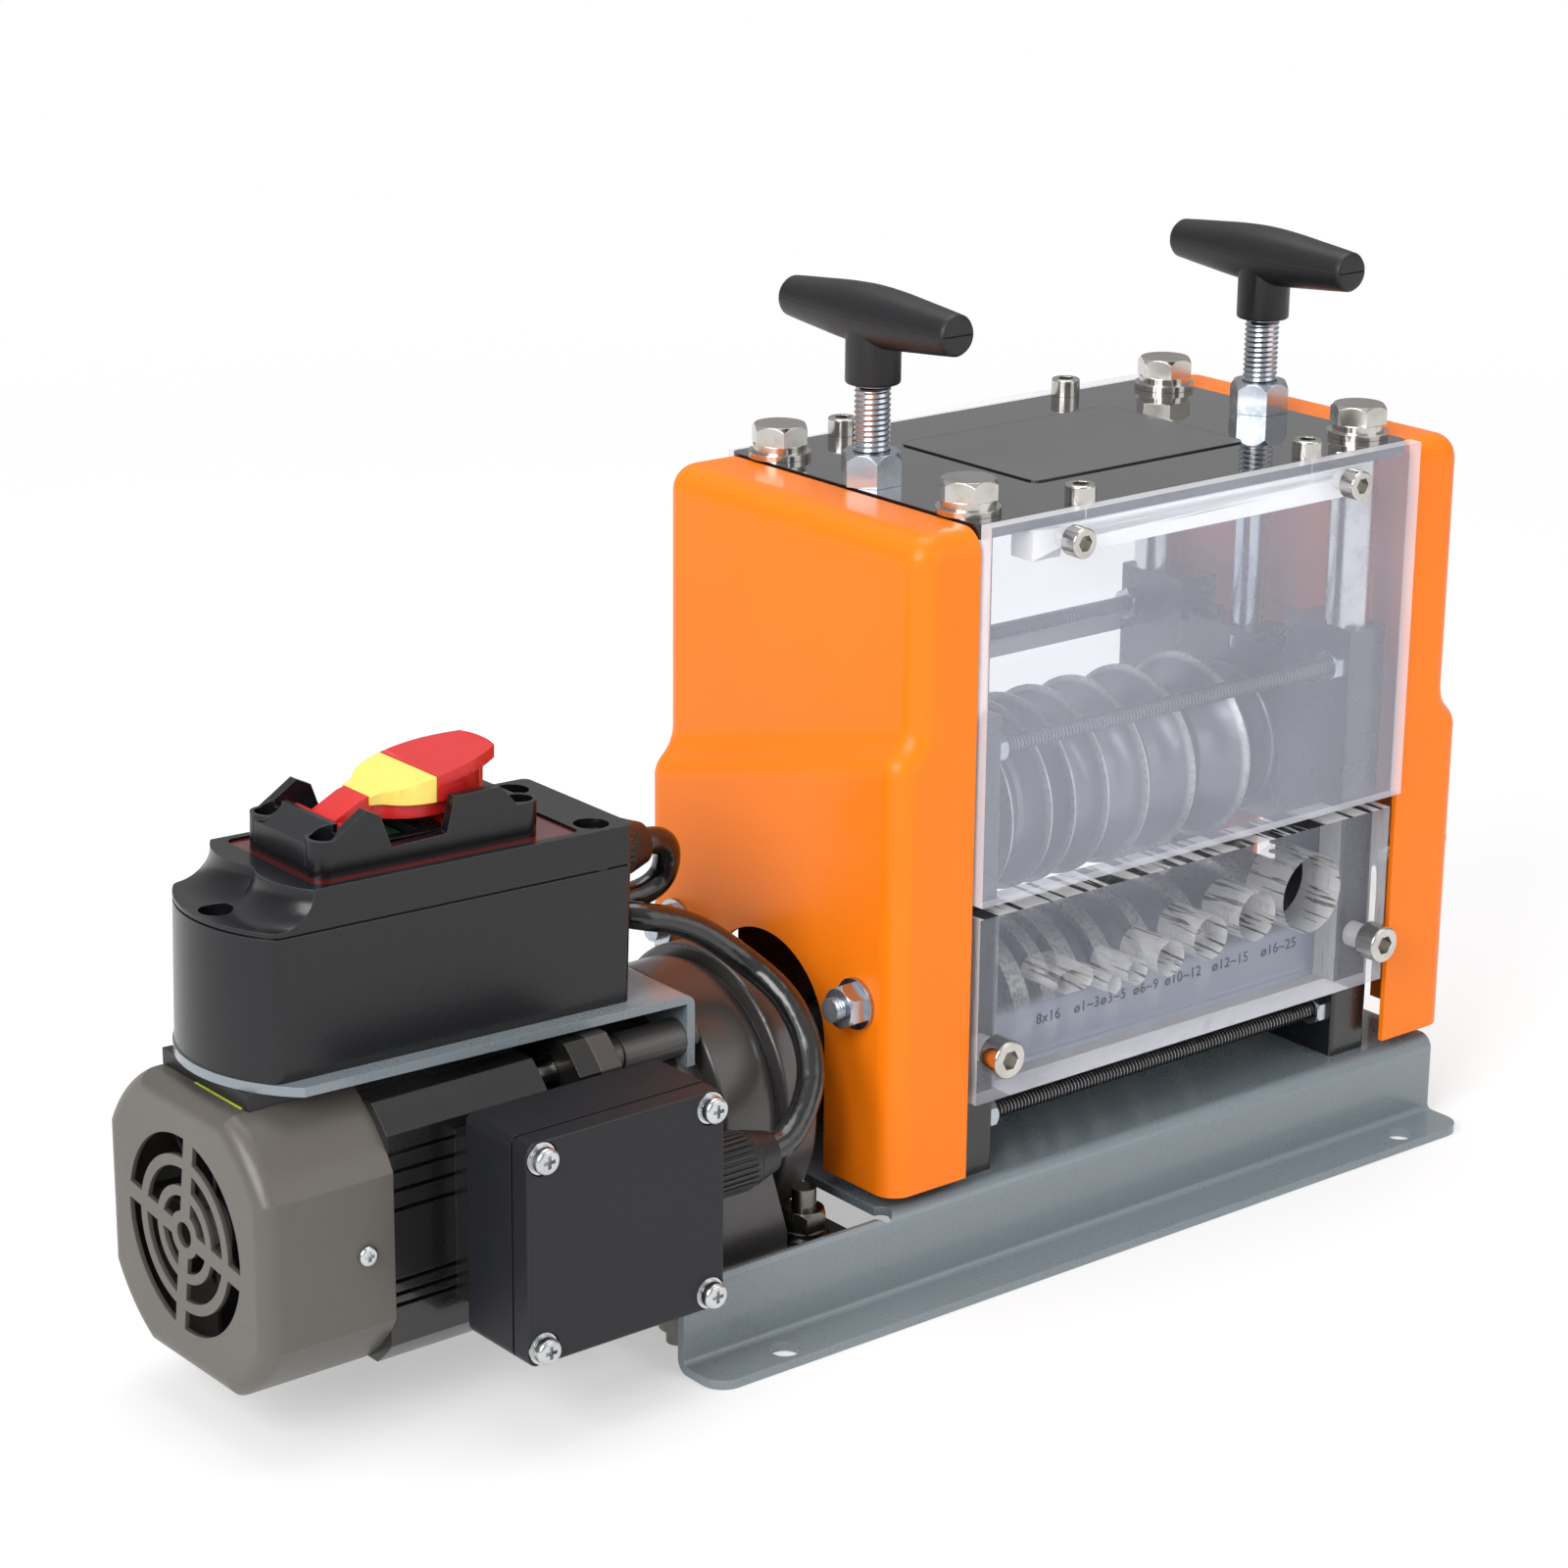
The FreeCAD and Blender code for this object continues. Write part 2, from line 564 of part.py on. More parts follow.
def cross_bar():
    bar = box(FRAME_XS[0] + 2, FRAME_XS[1] + FRAME_T - 2, FRAME_Y, FRAME_Y + CROSS_T, CROSS_Z - 4.8, CROSS_Z + 4.8)
    tools = []
    for x in FRAME_XS:
        tools.append(rod_y(2.5 + HOLE_GAP / 2, FRAME_Y - 1, FRAME_Y + CROSS_T + 1, x + FRAME_MID, CROSS_Z))
        seat = FRAME_Y + CROSS_T - CROSS_HEAD
        tools.append(rod_y(4.25 + 0.1, seat, FRAME_Y + CROSS_T + 1, x + FRAME_MID, CROSS_Z))
    return cut(bar, tools)


def cross_bar_screws():
    solids = []
    for x in FRAME_XS:
        seat = FRAME_Y + CROSS_T - CROSS_HEAD
        screw = socket_screw(2.5, 4.25, CROSS_HEAD, 11.0, 3.0)
        solids.append(place(screw, (x + FRAME_MID, seat, CROSS_Z), (0, 1, 0)))
    return Part.makeCompound(solids)


def tie_rods():
    solids = []
    for side in (-1, 1):
        for z in (ROD_Z_LOW, ROD_Z_HIGH):
            x0 = FRAME_XS[0] + FRAME_T - 11.5
            x1 = FRAME_XS[1] + 11.5
            bar = ringed_rod(3.0, 0.45, 1.5, 0, x1 - x0)
            solids.append(place(bar, (x0, side * ROD_Y, z), (1, 0, 0)))
    return Part.makeCompound(solids)


def tie_rod_nuts():
    solids = []
    for side in (-1, 1):
        for z in (ROD_Z_LOW, ROD_Z_HIGH):
            nut = hex_nut(10.0, 3.0 + THREAD_GAP, 0, 5.0)
            solids.append(place(nut, (FRAME_XS[0] + FRAME_T, side * ROD_Y, z), (1, 0, 0)))
            solids.append(place(nut, (FRAME_XS[1], side * ROD_Y, z), (-1, 0, 0)))
    return Part.makeCompound(solids)


# covers

def cover_hull(inset):
    """Cover outline pulled in by the inset; its shoulder falls towards the back."""
    i = inset
    reach = COVER_IN + (20 if i else 0)
    floor = COVER_Z0 - (20 if i else 0)
    hull = box(COVER_LOW + i, reach, -COVER_Y + i, COVER_Y - i, floor, COVER_Z1 - i)
    fall = SHOULDER_FALL / (2 * COVER_Y)
    y0 = -COVER_Y - 1
    rise = fall - 0.5 * i
    above = [
        (COVER_UP + i, y0, SHOULDER_UP + rise),
        (COVER_LOW + i, y0, SHOULDER_LOW + rise),
        (COVER_LOW - 2, y0, SHOULDER_LOW + rise),
        (COVER_LOW - 2, y0, COVER_Z1 + SHOULDER_FALL + 5),
        (COVER_UP + i, y0, COVER_Z1 + SHOULDER_FALL + 5),
    ]
    hull = hull.cut(prism(above, (0, -2 * y0, 2 * y0 * fall)))
    slope = V(0, -2 * y0, 2 * y0 * fall).normalize()
    hull = rounded(hull, 9.0 - i, lambda e, m: along(e, V(0, 1, 0)) and m.z > COVER_Z1 - i - 1 and m.x < COVER_UP + i + 1)
    hull = rounded(hull, SHOULDER_R, lambda e, m: along(e, slope))
    return rounded(
        hull,
        8.0 - i,
        lambda e, m: abs(abs(m.y) - (COVER_Y - i)) < 1e-3 and m.x < COVER_UP + 9.5 and m.z > COVER_Z0 + 1
        or abs(abs(m.y) - (COVER_Y - i)) < 1e-3 and along(e, V(0, 0, 1)) and m.x < COVER_UP + 3,
    )


def left_cover():
    shell = cover_hull(0.0).cut(cover_hull(COVER_T))
    tools = [box(COVER_LOW - 1, COVER_LOW + 12, -ARCH_R, ARCH_R, COVER_Z0 - 1, ARCH_Z)]
    tools.append(rod_x(ARCH_R, COVER_LOW - 1, COVER_LOW + 12, 0, ARCH_Z))
    holes = [rod_x(4.0 + HOLE_GAP, COVER_LOW - 1, COVER_LOW + 12, s * STUD_Y, STUD_Z) for s in (-1, 1)]
    return shell.cut(fuse(tools)).cut(Part.makeCompound(holes))


def turned_round(shape):
    """The same piece at the other end of the head."""
    other = shape.copy()
    other.rotate(V(HEAD_X, 0, 0), V(0, 0, 1), 180)
    return other


def cover_studs():
    solids = []
    for side in (-1, 1):
        stud = ringed_rod(4.0, 0.5, 1.25, 0, 52.5)
        at = (COVER_LOW - 11.5, side * STUD_Y, STUD_Z)
        solids.append(place(stud, at, (1, 0, 0)))
    return Part.makeCompound(solids + [turned_round(s) for s in solids])


def cover_nuts():
    """Washer and nut outside, jam nut inside, on each stud."""
    solids = []
    for side in (-1, 1):
        stack = [washer(8.5, 4.2, 0, 1.6), hex_nut(13.0, 4.0 + THREAD_GAP, 1.6, 6.5)]
        solids += [place(s, (COVER_LOW, side * STUD_Y, STUD_Z), (-1, 0, 0)) for s in stack]
        jam = hex_nut(13.0, 4.0 + THREAD_GAP, 0, 6.5)
        solids.append(place(jam, (COVER_LOW + COVER_T, side * STUD_Y, STUD_Z), (1, 0, 0)))
    return Part.makeCompound(solids + [turned_round(s) for s in solids])


# shafts, rollers and press

def bearing(mid, z, inner):
    x0, x1 = mid - BEARING_W / 2, mid + BEARING_W / 2
    if inner:
        return turned(
            [(x0, SHAFT_R + 0.01), (x0, SHAFT_R + 3.2), (x1, SHAFT_R + 3.2), (x1, SHAFT_R + 0.01)], z)
    shield = SHAFT_R + 3.4
    return turned(
        [(x0, BEARING_R - 3.2), (x0, BEARING_R), (x1, BEARING_R), (x1, BEARING_R - 3.2), (x1 - 0.6, BEARING_R - 3.2),
         (x1 - 0.6, shield), (x1 - 1.2, shield), (x1 - 1.2, BEARING_R - 3.2), (x0 + 1.2, BEARING_R - 3.2),
         (x0 + 1.2, shield), (x0 + 0.6, shield), (x0 + 0.6, BEARING_R - 3.2)], z)


def bearing_outers(z):
    return Part.makeCompound([bearing(x + FRAME_MID, z, False) for x in FRAME_XS])


def shaft_rings(z):
    """Inner rings of the two bearings of a shaft."""
    rings = []
    for x in FRAME_XS:
        rings.append(bearing(x + FRAME_MID, z, True))
    return rings


def feed_shaft():
    x0, x1 = -73.0, 146.0
    shaft = turned(
        [(x0, 0), (x0, 7.0), (x0 + 0.5, 7.5), (-57.0, 7.5), (-57.0, SHAFT_R), (x1 - 0.6, SHAFT_R), (x1, SHAFT_R - 0.6), (x1, 0)],
        AXIS_Z)
    key = box(LIPS[0], LIPS[-1], -2.5, 2.5, AXIS_Z + SHAFT_R - 2, AXIS_Z + SHAFT_R + 2.0)
    return Part.makeCompound([shaft.fuse(key).removeSplitter()] + shaft_rings(AXIS_Z))


def keyway(z):
    gap = 0.1
    return box(LIPS[0] - 20, LIPS[-1] + 20, -2.5 - gap, 2.5 + gap, z, z + SHAFT_R + 2.0 + gap)


def feed_roller():
    """Grooved feed roller: a bright lip between every two cable grooves."""
    start, stop = LIPS[0] - LIP_W[0] / 2, LIPS[-1] + LIP_W[-1] / 2
    profile = [(start, SHAFT_R + RUN_GAP), (start, FEED_R)]
    for k in range(len(GUIDES)):
        a = LIPS[k] + LIP_W[k] / 2
        b = LIPS[k + 1] - LIP_W[k + 1] / 2
        floor = FEED_FLOOR_R
        sag = min(FEED_R - floor, (b - a) / 2.0)
        profile += [(a, FEED_R), (a, floor + sag * 0.9), ((a + b) / 2, floor, b, floor + sag * 0.9), (b, FEED_R)]
    profile += [(stop, FEED_R), (stop, SHAFT_R + RUN_GAP)]
    return turned(profile, AXIS_Z).cut(keyway(AXIS_Z))


def cutter_shaft():
    x0, x1 = -54.0, 138.0
    shaft = turned([(x0, 0), (x0, SHAFT_R - 0.6), (x0 + 0.6, SHAFT_R), (x1 - 0.6, SHAFT_R), (x1, SHAFT_R - 0.6), (x1, 0)], BLADE_Z)
    key = box(LIPS[0] + 2, LIPS[-1], -2.5, 2.5, BLADE_Z + SHAFT_R - 2, BLADE_Z + SHAFT_R + 2.0)
    return Part.makeCompound([shaft.fuse(key).removeSplitter()] + shaft_rings(BLADE_Z))


def cutter_discs():
    """One hollow ground disc over each cable groove."""
    solids = []
    for k in range(len(GUIDES)):
        a, b, x = LIPS[k], LIPS[k + 1], GUIDES[k][0]
        if k == 0:
            a = LIPS[0] + 2.0
        land = 0.35
        la, lb = x - land - a, b - x - land
        rise = BLADE_R - BLADE_ROOT_R
        profile = [
            (a, SHAFT_R + RUN_GAP),
            (a, BLADE_ROOT_R),
            (a + la * 0.55, BLADE_ROOT_R + rise * 0.22, x - land, BLADE_R),
            (x + land, BLADE_R),
            (x + land + lb * 0.45, BLADE_ROOT_R + rise * 0.22, b, BLADE_ROOT_R),
            (b, SHAFT_R + RUN_GAP),
        ]
        solids.append(turned(profile, BLADE_Z).cut(keyway(BLADE_Z)))
    end = turned([(LIPS[-1], SHAFT_R + RUN_GAP), (LIPS[-1], 27.0), (LIPS[-1] + 2.4, 27.0), (LIPS[-1] + 2.4, SHAFT_R + RUN_GAP)], BLADE_Z)
    solids.append(end.cut(keyway(BLADE_Z)))
    return Part.makeCompound(solids)


def bearing_block(x0):
    half = WINDOW_Y - BLOCK_GAP
    mid = x0 + FRAME_MID
    press_x = HEAD_X + math.copysign(PRESS_X, x0 - HEAD_X)
    block = box(x0, x0 + FRAME_T, -half, half, BLOCK_BOTTOM, BLOCK_TOP)
    tools = [rod_x(BEARING_R - 4, x0 - 1, x0 + FRAME_T + 1, 0, BLADE_Z)]
    tools.append(rod_x(BEARING_R, mid - BEARING_W / 2, mid + BEARING_W / 2, 0, BLADE_Z))
    open_side = mid + BEARING_W / 2 if x0 > HEAD_X else x0 - 1
    tools.append(rod_x(BEARING_R, open_side, open_side + 6, 0, BLADE_Z))
    tools.append(rod_z(8.0 + RUN_GAP, BLOCK_TOP - 5.0, BLOCK_TOP + 1, press_x, 0))
    for side in (-1, 1):
        tools.append(rod_z(SPRING_POCKET_R, BLOCK_BOTTOM - 1, BLOCK_BOTTOM + SPRING_RISE, mid, side * SPRING_Y))
        tools.append(rod_z(1.5 + THREAD_GAP, BLOCK_TOP - 8, BLOCK_TOP + 1, press_x, side * 16.0))
    return cut(block, tools)


def bearing_blocks():
    return Part.makeCompound([bearing_block(x) for x in FRAME_XS])


def keeper_plates():
    """Plates that hold the flange of each press screw in its block."""
    solids = []
    for x in both(PRESS_X):
        plate = box(x - 8.3, x + 8.3, -21, 21, BLOCK_TOP, BLOCK_TOP + 3.0)
        tools = [rod_z(6.0 + HOLE_GAP, BLOCK_TOP - 1, BLOCK_TOP + 4, x, 0)]
        for side in (-1, 1):
            tools.append(rod_z(1.5 + 0.2, BLOCK_TOP - 1, BLOCK_TOP + 4, x, side * 16.0))
        solids.append(cut(plate, tools))
    return Part.makeCompound(solids)


def keeper_screws():
    solids = []
    for x in both(PRESS_X):
        for side in (-1, 1):
            screw = socket_screw(1.5, 2.75, 3.0, 9.0, 2.5)
            solids.append(place(screw, (x, side * 16.0, BLOCK_TOP + 3.0), (0, 0, 1)))
    return Part.makeCompound(solids)


def lift_springs():
    """Coil springs that lift the bearing blocks, made as tubes on a helix."""
    bottom = WINDOW_Z - SPRING_SINK
    top = BLOCK_BOTTOM + SPRING_RISE
    height = top - bottom - 2 * SPRING_WIRE_R
    pitch = height / SPRING_TURNS
    gap = pitch - 2 * SPRING_WIRE_R
    print("lift spring gap between turns, mm: %.2f" % gap)
    print("lift spring gap when pressed, mm: %.2f" % ((height - PRESS_TRAVEL) / SPRING_TURNS - 2 * SPRING_WIRE_R))
    coil = spring_tube(SPRING_MEAN_R, SPRING_WIRE_R, pitch, SPRING_TURNS)
    solids = []
    for x in FRAME_XS:
        for side in (-1, 1):
            one = coil.copy()
            one.translate(V(x + FRAME_MID, side * SPRING_Y, bottom + SPRING_WIRE_R))
            solids.append(one)
    return Part.makeCompound(solids)


def spring_tube(radius, wire, pitch, turns):
    """Tube swept along a helix drawn as quarter turn curves."""
    edges = []
    quarter = math.pi / 2
    rise = pitch / (2 * math.pi)
    for k in range(turns * 4):
        points = []
        for j in range(5):
            a = (k + j / 4.0) * quarter
            points.append(V(radius * math.cos(a), radius * math.sin(a), rise * a))
        curve = Part.BSplineCurve()
        a0, a1 = k * quarter, (k + 1) * quarter
        t0 = V(-radius * math.sin(a0), radius * math.cos(a0), rise)
        t1 = V(-radius * math.sin(a1), radius * math.cos(a1), rise)
        curve.interpolate(Points=points, InitialTangent=t0, FinalTangent=t1)
        edges.append(curve.toShape())
    path = Part.Wire(edges)
    start = V(radius, 0, 0)
    circle = Part.Wire(Part.makeCircle(wire, start, V(0, radius, rise)))
    return path.makePipeShell([circle], True, False)


def t_bolt(x):
    """Press screw: thread through the fixed nut, flange held in the block."""
    z0, z1 = BLOCK_TOP - 5.0 + RUN_GAP, 299.0
    shank0 = TOP_Z1 - 2.0
    lower = rod_z(8.0, z0, z0 + 4.8).fuse(rod_z(6.0, z0, shank0))
    upper = ringed_rod(6.0, 0.6, THREAD_PITCH, shank0, 285.0 - 0.5)
    tail = rod_z(6.0, 284.5, z1)
    bolt = lower.fuse(upper).fuse(tail).removeSplitter()
    bolt.translate(V(x, 0, 0))
    return bolt


def t_handle(x):
    """Moulded cross grip, flat round ends, hub pushed over the screw."""
    half, zc = 41.0, 307.3
    outline = [(0, -half), (5.6, -half), (6.75, -half + 1.2), (8.2, -24.0), (9.8, -9.0), (9.8, 9.0),
               (8.2, 24.0), (6.75, half - 1.2), (5.6, half), (0, half)]
    edges = [Part.makeLine(V(0, outline[0][1], 0), V(outline[1][0], outline[1][1], 0))]
    edges.append(Part.makeLine(V(5.6, -half, 0), V(6.75, -half + 1.2, 0)))
    curve = Part.BSplineCurve()
    curve.interpolate([V(6.75, -half + 1.2, 0), V(8.3, -24, 0), V(9.9, 0, 0), V(8.3, 24, 0), V(6.75, half - 1.2, 0)])
    edges.append(curve.toShape())
    edges.append(Part.makeLine(V(6.75, half - 1.2, 0), V(5.6, half, 0)))
    edges.append(Part.makeLine(V(5.6, half, 0), V(0, half, 0)))
    edges.append(Part.makeLine(V(0, half, 0), V(0, -half, 0)))
    bar = Part.Face(Part.Wire(edges)).revolve(V(0, 0, 0), V(0, 1, 0), 360)
    bar.translate(V(x, 0, zc))
    hub = rod_z(9.0, 285.5, zc, x, 0)
    hub = rounded(hub, 1.0, lambda e, m: m.z < 286)
    grip = bar.fuse(hub).removeSplitter()
    return grip.cut(rod_z(6.0 + THREAD_GAP, 280, 299.0 + 0.3, x, 0))


# motor and gearbox

def square_x(half, corner_r, x0, x1, z=AXIS_Z):
    """Square bar along X with its corners on a circle."""
    return box(x0, x1, -half, half, z - half, z + half).common(rod_x(corner_r, x0, x1, 0, z))


def motor_body():
    body = square_x(BODY_HALF, 54.0, BODY_X0, BODY_X1 - 18)
    body = body.fuse(rod_x(CASE_R + 1.2, BODY_X1 - 18, BODY_X1 - 8, 0, AXIS_Z))
    flange = square_x(FAN_HALF, 58.0, BODY_X1 - 8, BODY_X1)
    shield = rod_x(40.0, BODY_X0 - 16, BODY_X0, 0, AXIS_Z)
    body = body.fuse(flange).fuse(shield).removeSplitter()
    tools = []
    for s in (-1, 1):
        y0, y1 = sorted((s * (BODY_HALF - GROOVE_DEPTH), s * (BODY_HALF + 2)))
        for c in SIDE_GROOVES:
            tools.append(box(BODY_X0 - 1, BODY_X1 - 17, y0, y1, AXIS_Z + c - GROOVE_HALF, AXIS_Z + c + GROOVE_HALF))
        for c in TOP_GROOVES:
            tools.append(box(BODY_X0 - 1, BODY_X1 - 17, c - GROOVE_HALF, c + GROOVE_HALF, AXIS_Z + y0, AXIS_Z + y1))
    tools.append(rod_x(36.05, BODY_X0 - 12, BODY_X1 - 18, 0, AXIS_Z))
    tools.append(rod_x(35.0, BODY_X1 - 19, BODY_X1 - 4, 0, AXIS_Z))
    tools.append(rod_x(11.0, BODY_X0 - 17, BODY_X1 + 1, 0, AXIS_Z))
    for y, z in corners(BOSS_Y, BOSS_Z):
        tools.append(rod_x(3.0 + HOLE_GAP / 2, BODY_X1 - 9, BODY_X1 + 1, y, AXIS_Z + z))
    for y, z, d in FAN_SCREWS:
        hole = rod_z(1.5 + THREAD_GAP, -12, 1)
        tools.append(place(hole, (FAN_SCREW_X, y * 39.5, AXIS_Z + z * 39.5), d))
    pad = box(-240, -175 - 16, -BODY_HALF - 8.5, -BODY_HALF + 5, 38, 92)
    body = cut(body, tools)
    return body.fuse(pad.cut(rod_x(36.2, -280, -150, 0, AXIS_Z))).removeSplitter()


def stator():
    return ring_x(36.0, 27.0, -252, -206)


def coil_ends():
    rings = []
    for x0 in (-262.0, -206.0):
        ring = ring_x(34.5, 28.5, x0, x0 + 10)
        rings.append(rounded(ring, 2.0, lambda e, m: True))
    return Part.makeCompound(rings)


def motor_bearings():
    return Part.makeCompound([ring_x(10.95, 6.0 + RUN_GAP, BODY_X0 - 16, BODY_X0 - 12), ring_x(10.95, 6.0 + RUN_GAP, BODY_X1 - 4, BODY_X1)])


def rotor():
    tip = DRUM_X0 + 9.5
    step = DRUM_X0 + 2
    shaft = turned([(-300, 0), (-300, 5.5), (-299.5, 6.0), (step, 6.0), (step, 3.2), (tip, 3.2), (tip, 0)], AXIS_Z)
    core = rod_x(26.5, -252, -206, 0, AXIS_Z)
    pinion = toothed(PINION, DRUM_X0 + 2.5, DRUM_X0 + 8.5, AXIS_Z, math.pi / 2)
    return shaft.fuse(core).fuse(pinion).removeSplitter()


def fan():
    blades = [ring_x(11.0, 6.0 + RUN_GAP, -299, -285)]
    blades.append(ring_x(37.0, 10.5, -286.5, -285))
    for k in range(8):
        blade = box(-298, -286, 10.0, 37.0, AXIS_Z - 0.8, AXIS_Z + 0.8)
        blade.rotate(V(0, 0, AXIS_Z), V(1, 0, 0), k * 45.0)
        blades.append(blade)
    return fuse(blades)


def fan_cover():
    hull = square_x(FAN_HALF, FAN_CORNER_R, FAN_X0, BODY_X0)
    hull = rounded(hull, 6.0, lambda e, m: m.x < FAN_X0 + 1e-3)
    inner = square_x(FAN_HALF - 1.6, FAN_CORNER_R - 1.6, FAN_X0 + 1.6, BODY_X0 + 1)
    inner = rounded(inner, 4.5, lambda e, m: m.x < FAN_X0 + 1.6 + 1e-3)
    cover = hull.cut(inner)
    tools = []
    for r0, r1 in ((24.9, 31.5), (15.4, 21.4), (7.4, 12.2)):
        ring = ring_x(r1, r0, FAN_X0 - 1, FAN_X0 + 3)
        spokes = []
        for k in range(4):
            bar = box(FAN_X0 - 2, FAN_X0 + 4, 0, 40, AXIS_Z - 2.6, AXIS_Z + 2.6)
            bar.rotate(V(0, 0, AXIS_Z), V(1, 0, 0), 8 + 90 * k)
            spokes.append(bar)
        tools.append(ring.cut(Part.makeCompound(spokes)))
    tools.append(rod_x(4.0, FAN_X0 - 1, FAN_X0 + 3, 0, AXIS_Z))
    for y, z, d in FAN_SCREWS:
        tools.append(place(rod_z(1.5 + 0.3, -8, 2), (FAN_SCREW_X, y * FAN_HALF, AXIS_Z + z * FAN_HALF), d))
    return cut(cover, tools)


def fan_cover_screws():
    solids = []
    for y, z, d in FAN_SCREWS:
        sleeve = washer(3.4, 1.8, -(FAN_HALF - 1.6 - 40.0), FAN_HALF - 1.6 - 40.0)
        seat = (FAN_SCREW_X, y * (FAN_HALF - 1.6), AXIS_Z + z * (FAN_HALF - 1.6))
        solids.append(place(sleeve, seat, d))
        screw = pan_screw(1.5, 3.2, 2.0, 10.0)
        solids.append(place(screw, (FAN_SCREW_X, y * FAN_HALF, AXIS_Z + z * FAN_HALF), d))
    return Part.makeCompound(solids)


def gearbox():
    """Gear case with its foot; four corner bosses carry the motor bolts."""
    flange = square_x(FAN_HALF, 58.0, BODY_X1, BODY_X1 + 8)
    neck = rod_x(CASE_R, BODY_X1 + 8, DRUM_X0, 0, AXIS_Z)
    drum = rod_x(BELL_R, DRUM_X0, DRUM_X1, 0, AXIS_Z)
    drum = rounded(drum, 10.0, lambda e, m: m.x > DRUM_X1 - 0.5)
    drum = rounded(drum, 1.5, lambda e, m: m.x < DRUM_X0 + 0.5)
    disc = rod_x(DISC_R, DRUM_X1 - 3, DRUM_X1 + DISC_OUT, 0, AXIS_Z)
    disc = rounded(disc, 1.2, lambda e, m: abs(m.z - AXIS_Z) < 60)
    nose = rod_x(22.0, DRUM_X1 + DISC_OUT, DRUM_X1 + DISC_OUT + 7, 0, AXIS_Z)
    parts = [flange, neck, drum, disc, nose]
    for y, z in corners(BOSS_Y, BOSS_Z):
        parts.append(rod_x(5.6, BODY_X1 + 8, BODY_X1 + 17, y, AXIS_Z + z))
        parts.append(rod_x(6.2, BODY_X1 + 17, BRACKET_X - SHEET, y, AXIS_Z + z))
    seat = PLATE_TOP + FOOT_T
    parts.append(box(-170, -104, -57, 57, PLATE_TOP, seat))
    profile = [(-162, seat - 1), (-120, seat - 1), (-131, AXIS_Z), (-148, AXIS_Z)]
    parts.append(prism([(x, -54, z) for x, z in profile], (0, 108, 0)))
    case = fuse(parts)
    tools = [rod_x(CASE_R - 4, BODY_X1 + 8, DRUM_X0 - 6, 0, AXIS_Z)]
    tools.append(rod_x(BELL_R - 4, DRUM_X0 + 1.5, DRUM_X1 - 4, 0, AXIS_Z))
    tools.append(rod_x(7.0, BODY_X1 - 1, DRUM_X0 + 2, 0, AXIS_Z))
    tools.append(rod_x(7.5 + RUN_GAP, DRUM_X1 - 5, DRUM_X1 + 17, 0, AXIS_Z))
    tools.append(rod_x(3.0 + RUN_GAP, DRUM_X0 - 4, DRUM_X1 + 2, 0, AXIS_Z + LAY))
    for y, z in corners(BOSS_Y, BOSS_Z):
        tools.append(rod_x(3.0 + THREAD_GAP, BODY_X1 - 1, -163, y, AXIS_Z + z))
        if z > 0:
            tools.append(rod_x(2.5 + THREAD_GAP, -162, -140, y, AXIS_Z + z))
    for x, y in FOOT_BOLTS:
        for side in (-1, 1):
            tools.append(rod_z(4.0 + HOLE_GAP, PLATE_TOP - 1, seat + 0.1, x, side * y))
            tools.append(rod_z(9.6, seat, seat + 14.0, x, side * y))
    return cut(case, tools)


def gearbox_bolts():
    solids = []
    for y, z in corners(BOSS_Y, BOSS_Z):
        at = (BODY_X1 - 8, y, AXIS_Z + z)
        parts = [washer(6.0, 3.2, 0, 1.2)]
        screw = socket_screw(3.0, 5.0, 6.0, 28.0, 5.0)
        screw.translate(V(0, 0, 1.2))
        solids += [place(s, at, (-1, 0, 0)) for s in parts + [screw]]
    for side in (-1, 1):
        bolt = hex_bolt(2.5, 8.0, 3.6, 16.0)
        solids.append(place(bolt, (BRACKET_X, side * BOSS_Y, AXIS_Z + BOSS_Z), (1, 0, 0)))
    return Part.makeCompound(solids)


def lay_shaft():
    shaft = rod_x(3.0, DRUM_X0 - 3.5, DRUM_X1 + 1.5, 0, AXIS_Z + LAY)
    step = math.pi / WHEEL
    wheel = toothed(WHEEL, DRUM_X0 + 3, DRUM_X0 + 8, AXIS_Z + LAY, -math.pi / 2 + step)
    pinion = toothed(PINION, DRUM_X0 + 11, DRUM_X0 + 20, AXIS_Z + LAY, -math.pi / 2)
    return shaft.fuse(wheel).fuse(pinion).removeSplitter()


def output_shaft():
    x0 = DRUM_X0 + 10.5
    shaft = turned([(x0, 0), (x0, 7.5), (-81.5, 7.5), (-81, 7.0), (-81, 0)], AXIS_Z)
    step = math.pi / WHEEL
    wheel = toothed(WHEEL, DRUM_X0 + 12, DRUM_X0 + 19, AXIS_Z, math.pi / 2 + step)
    return shaft.fuse(wheel).removeSplitter()


def coupling_hub(x0, x1, teeth_x, start):
    """Jaw coupling half: hub with three jaws."""
    hub = ring_x(15.0, 7.5 + RUN_GAP, x0, x1)
    jaws = []
    for k in range(3):
        jaw = ring_x(15.0, 8.5, teeth_x[0], teeth_x[1])
        wedge = prism([(teeth_x[0], 0, AXIS_Z), (teeth_x[0], 30, AXIS_Z + 12), (teeth_x[0], 30, AXIS_Z - 12)],
                      (teeth_x[1] - teeth_x[0], 0, 0))
        jaw = jaw.common(wedge)
        jaw.rotate(V(0, 0, AXIS_Z), V(1, 0, 0), start + 120 * k)
        jaws.append(jaw)
    return fuse([hub] + jaws)


def coupling_hubs():
    left = coupling_hub(-94.0, -80.0, (-80.0, -74.5), 0.0)
    right = coupling_hub(-74.0, -60.0, (-79.5, -74.0), 60.0)
    return Part.makeCompound([left, right])


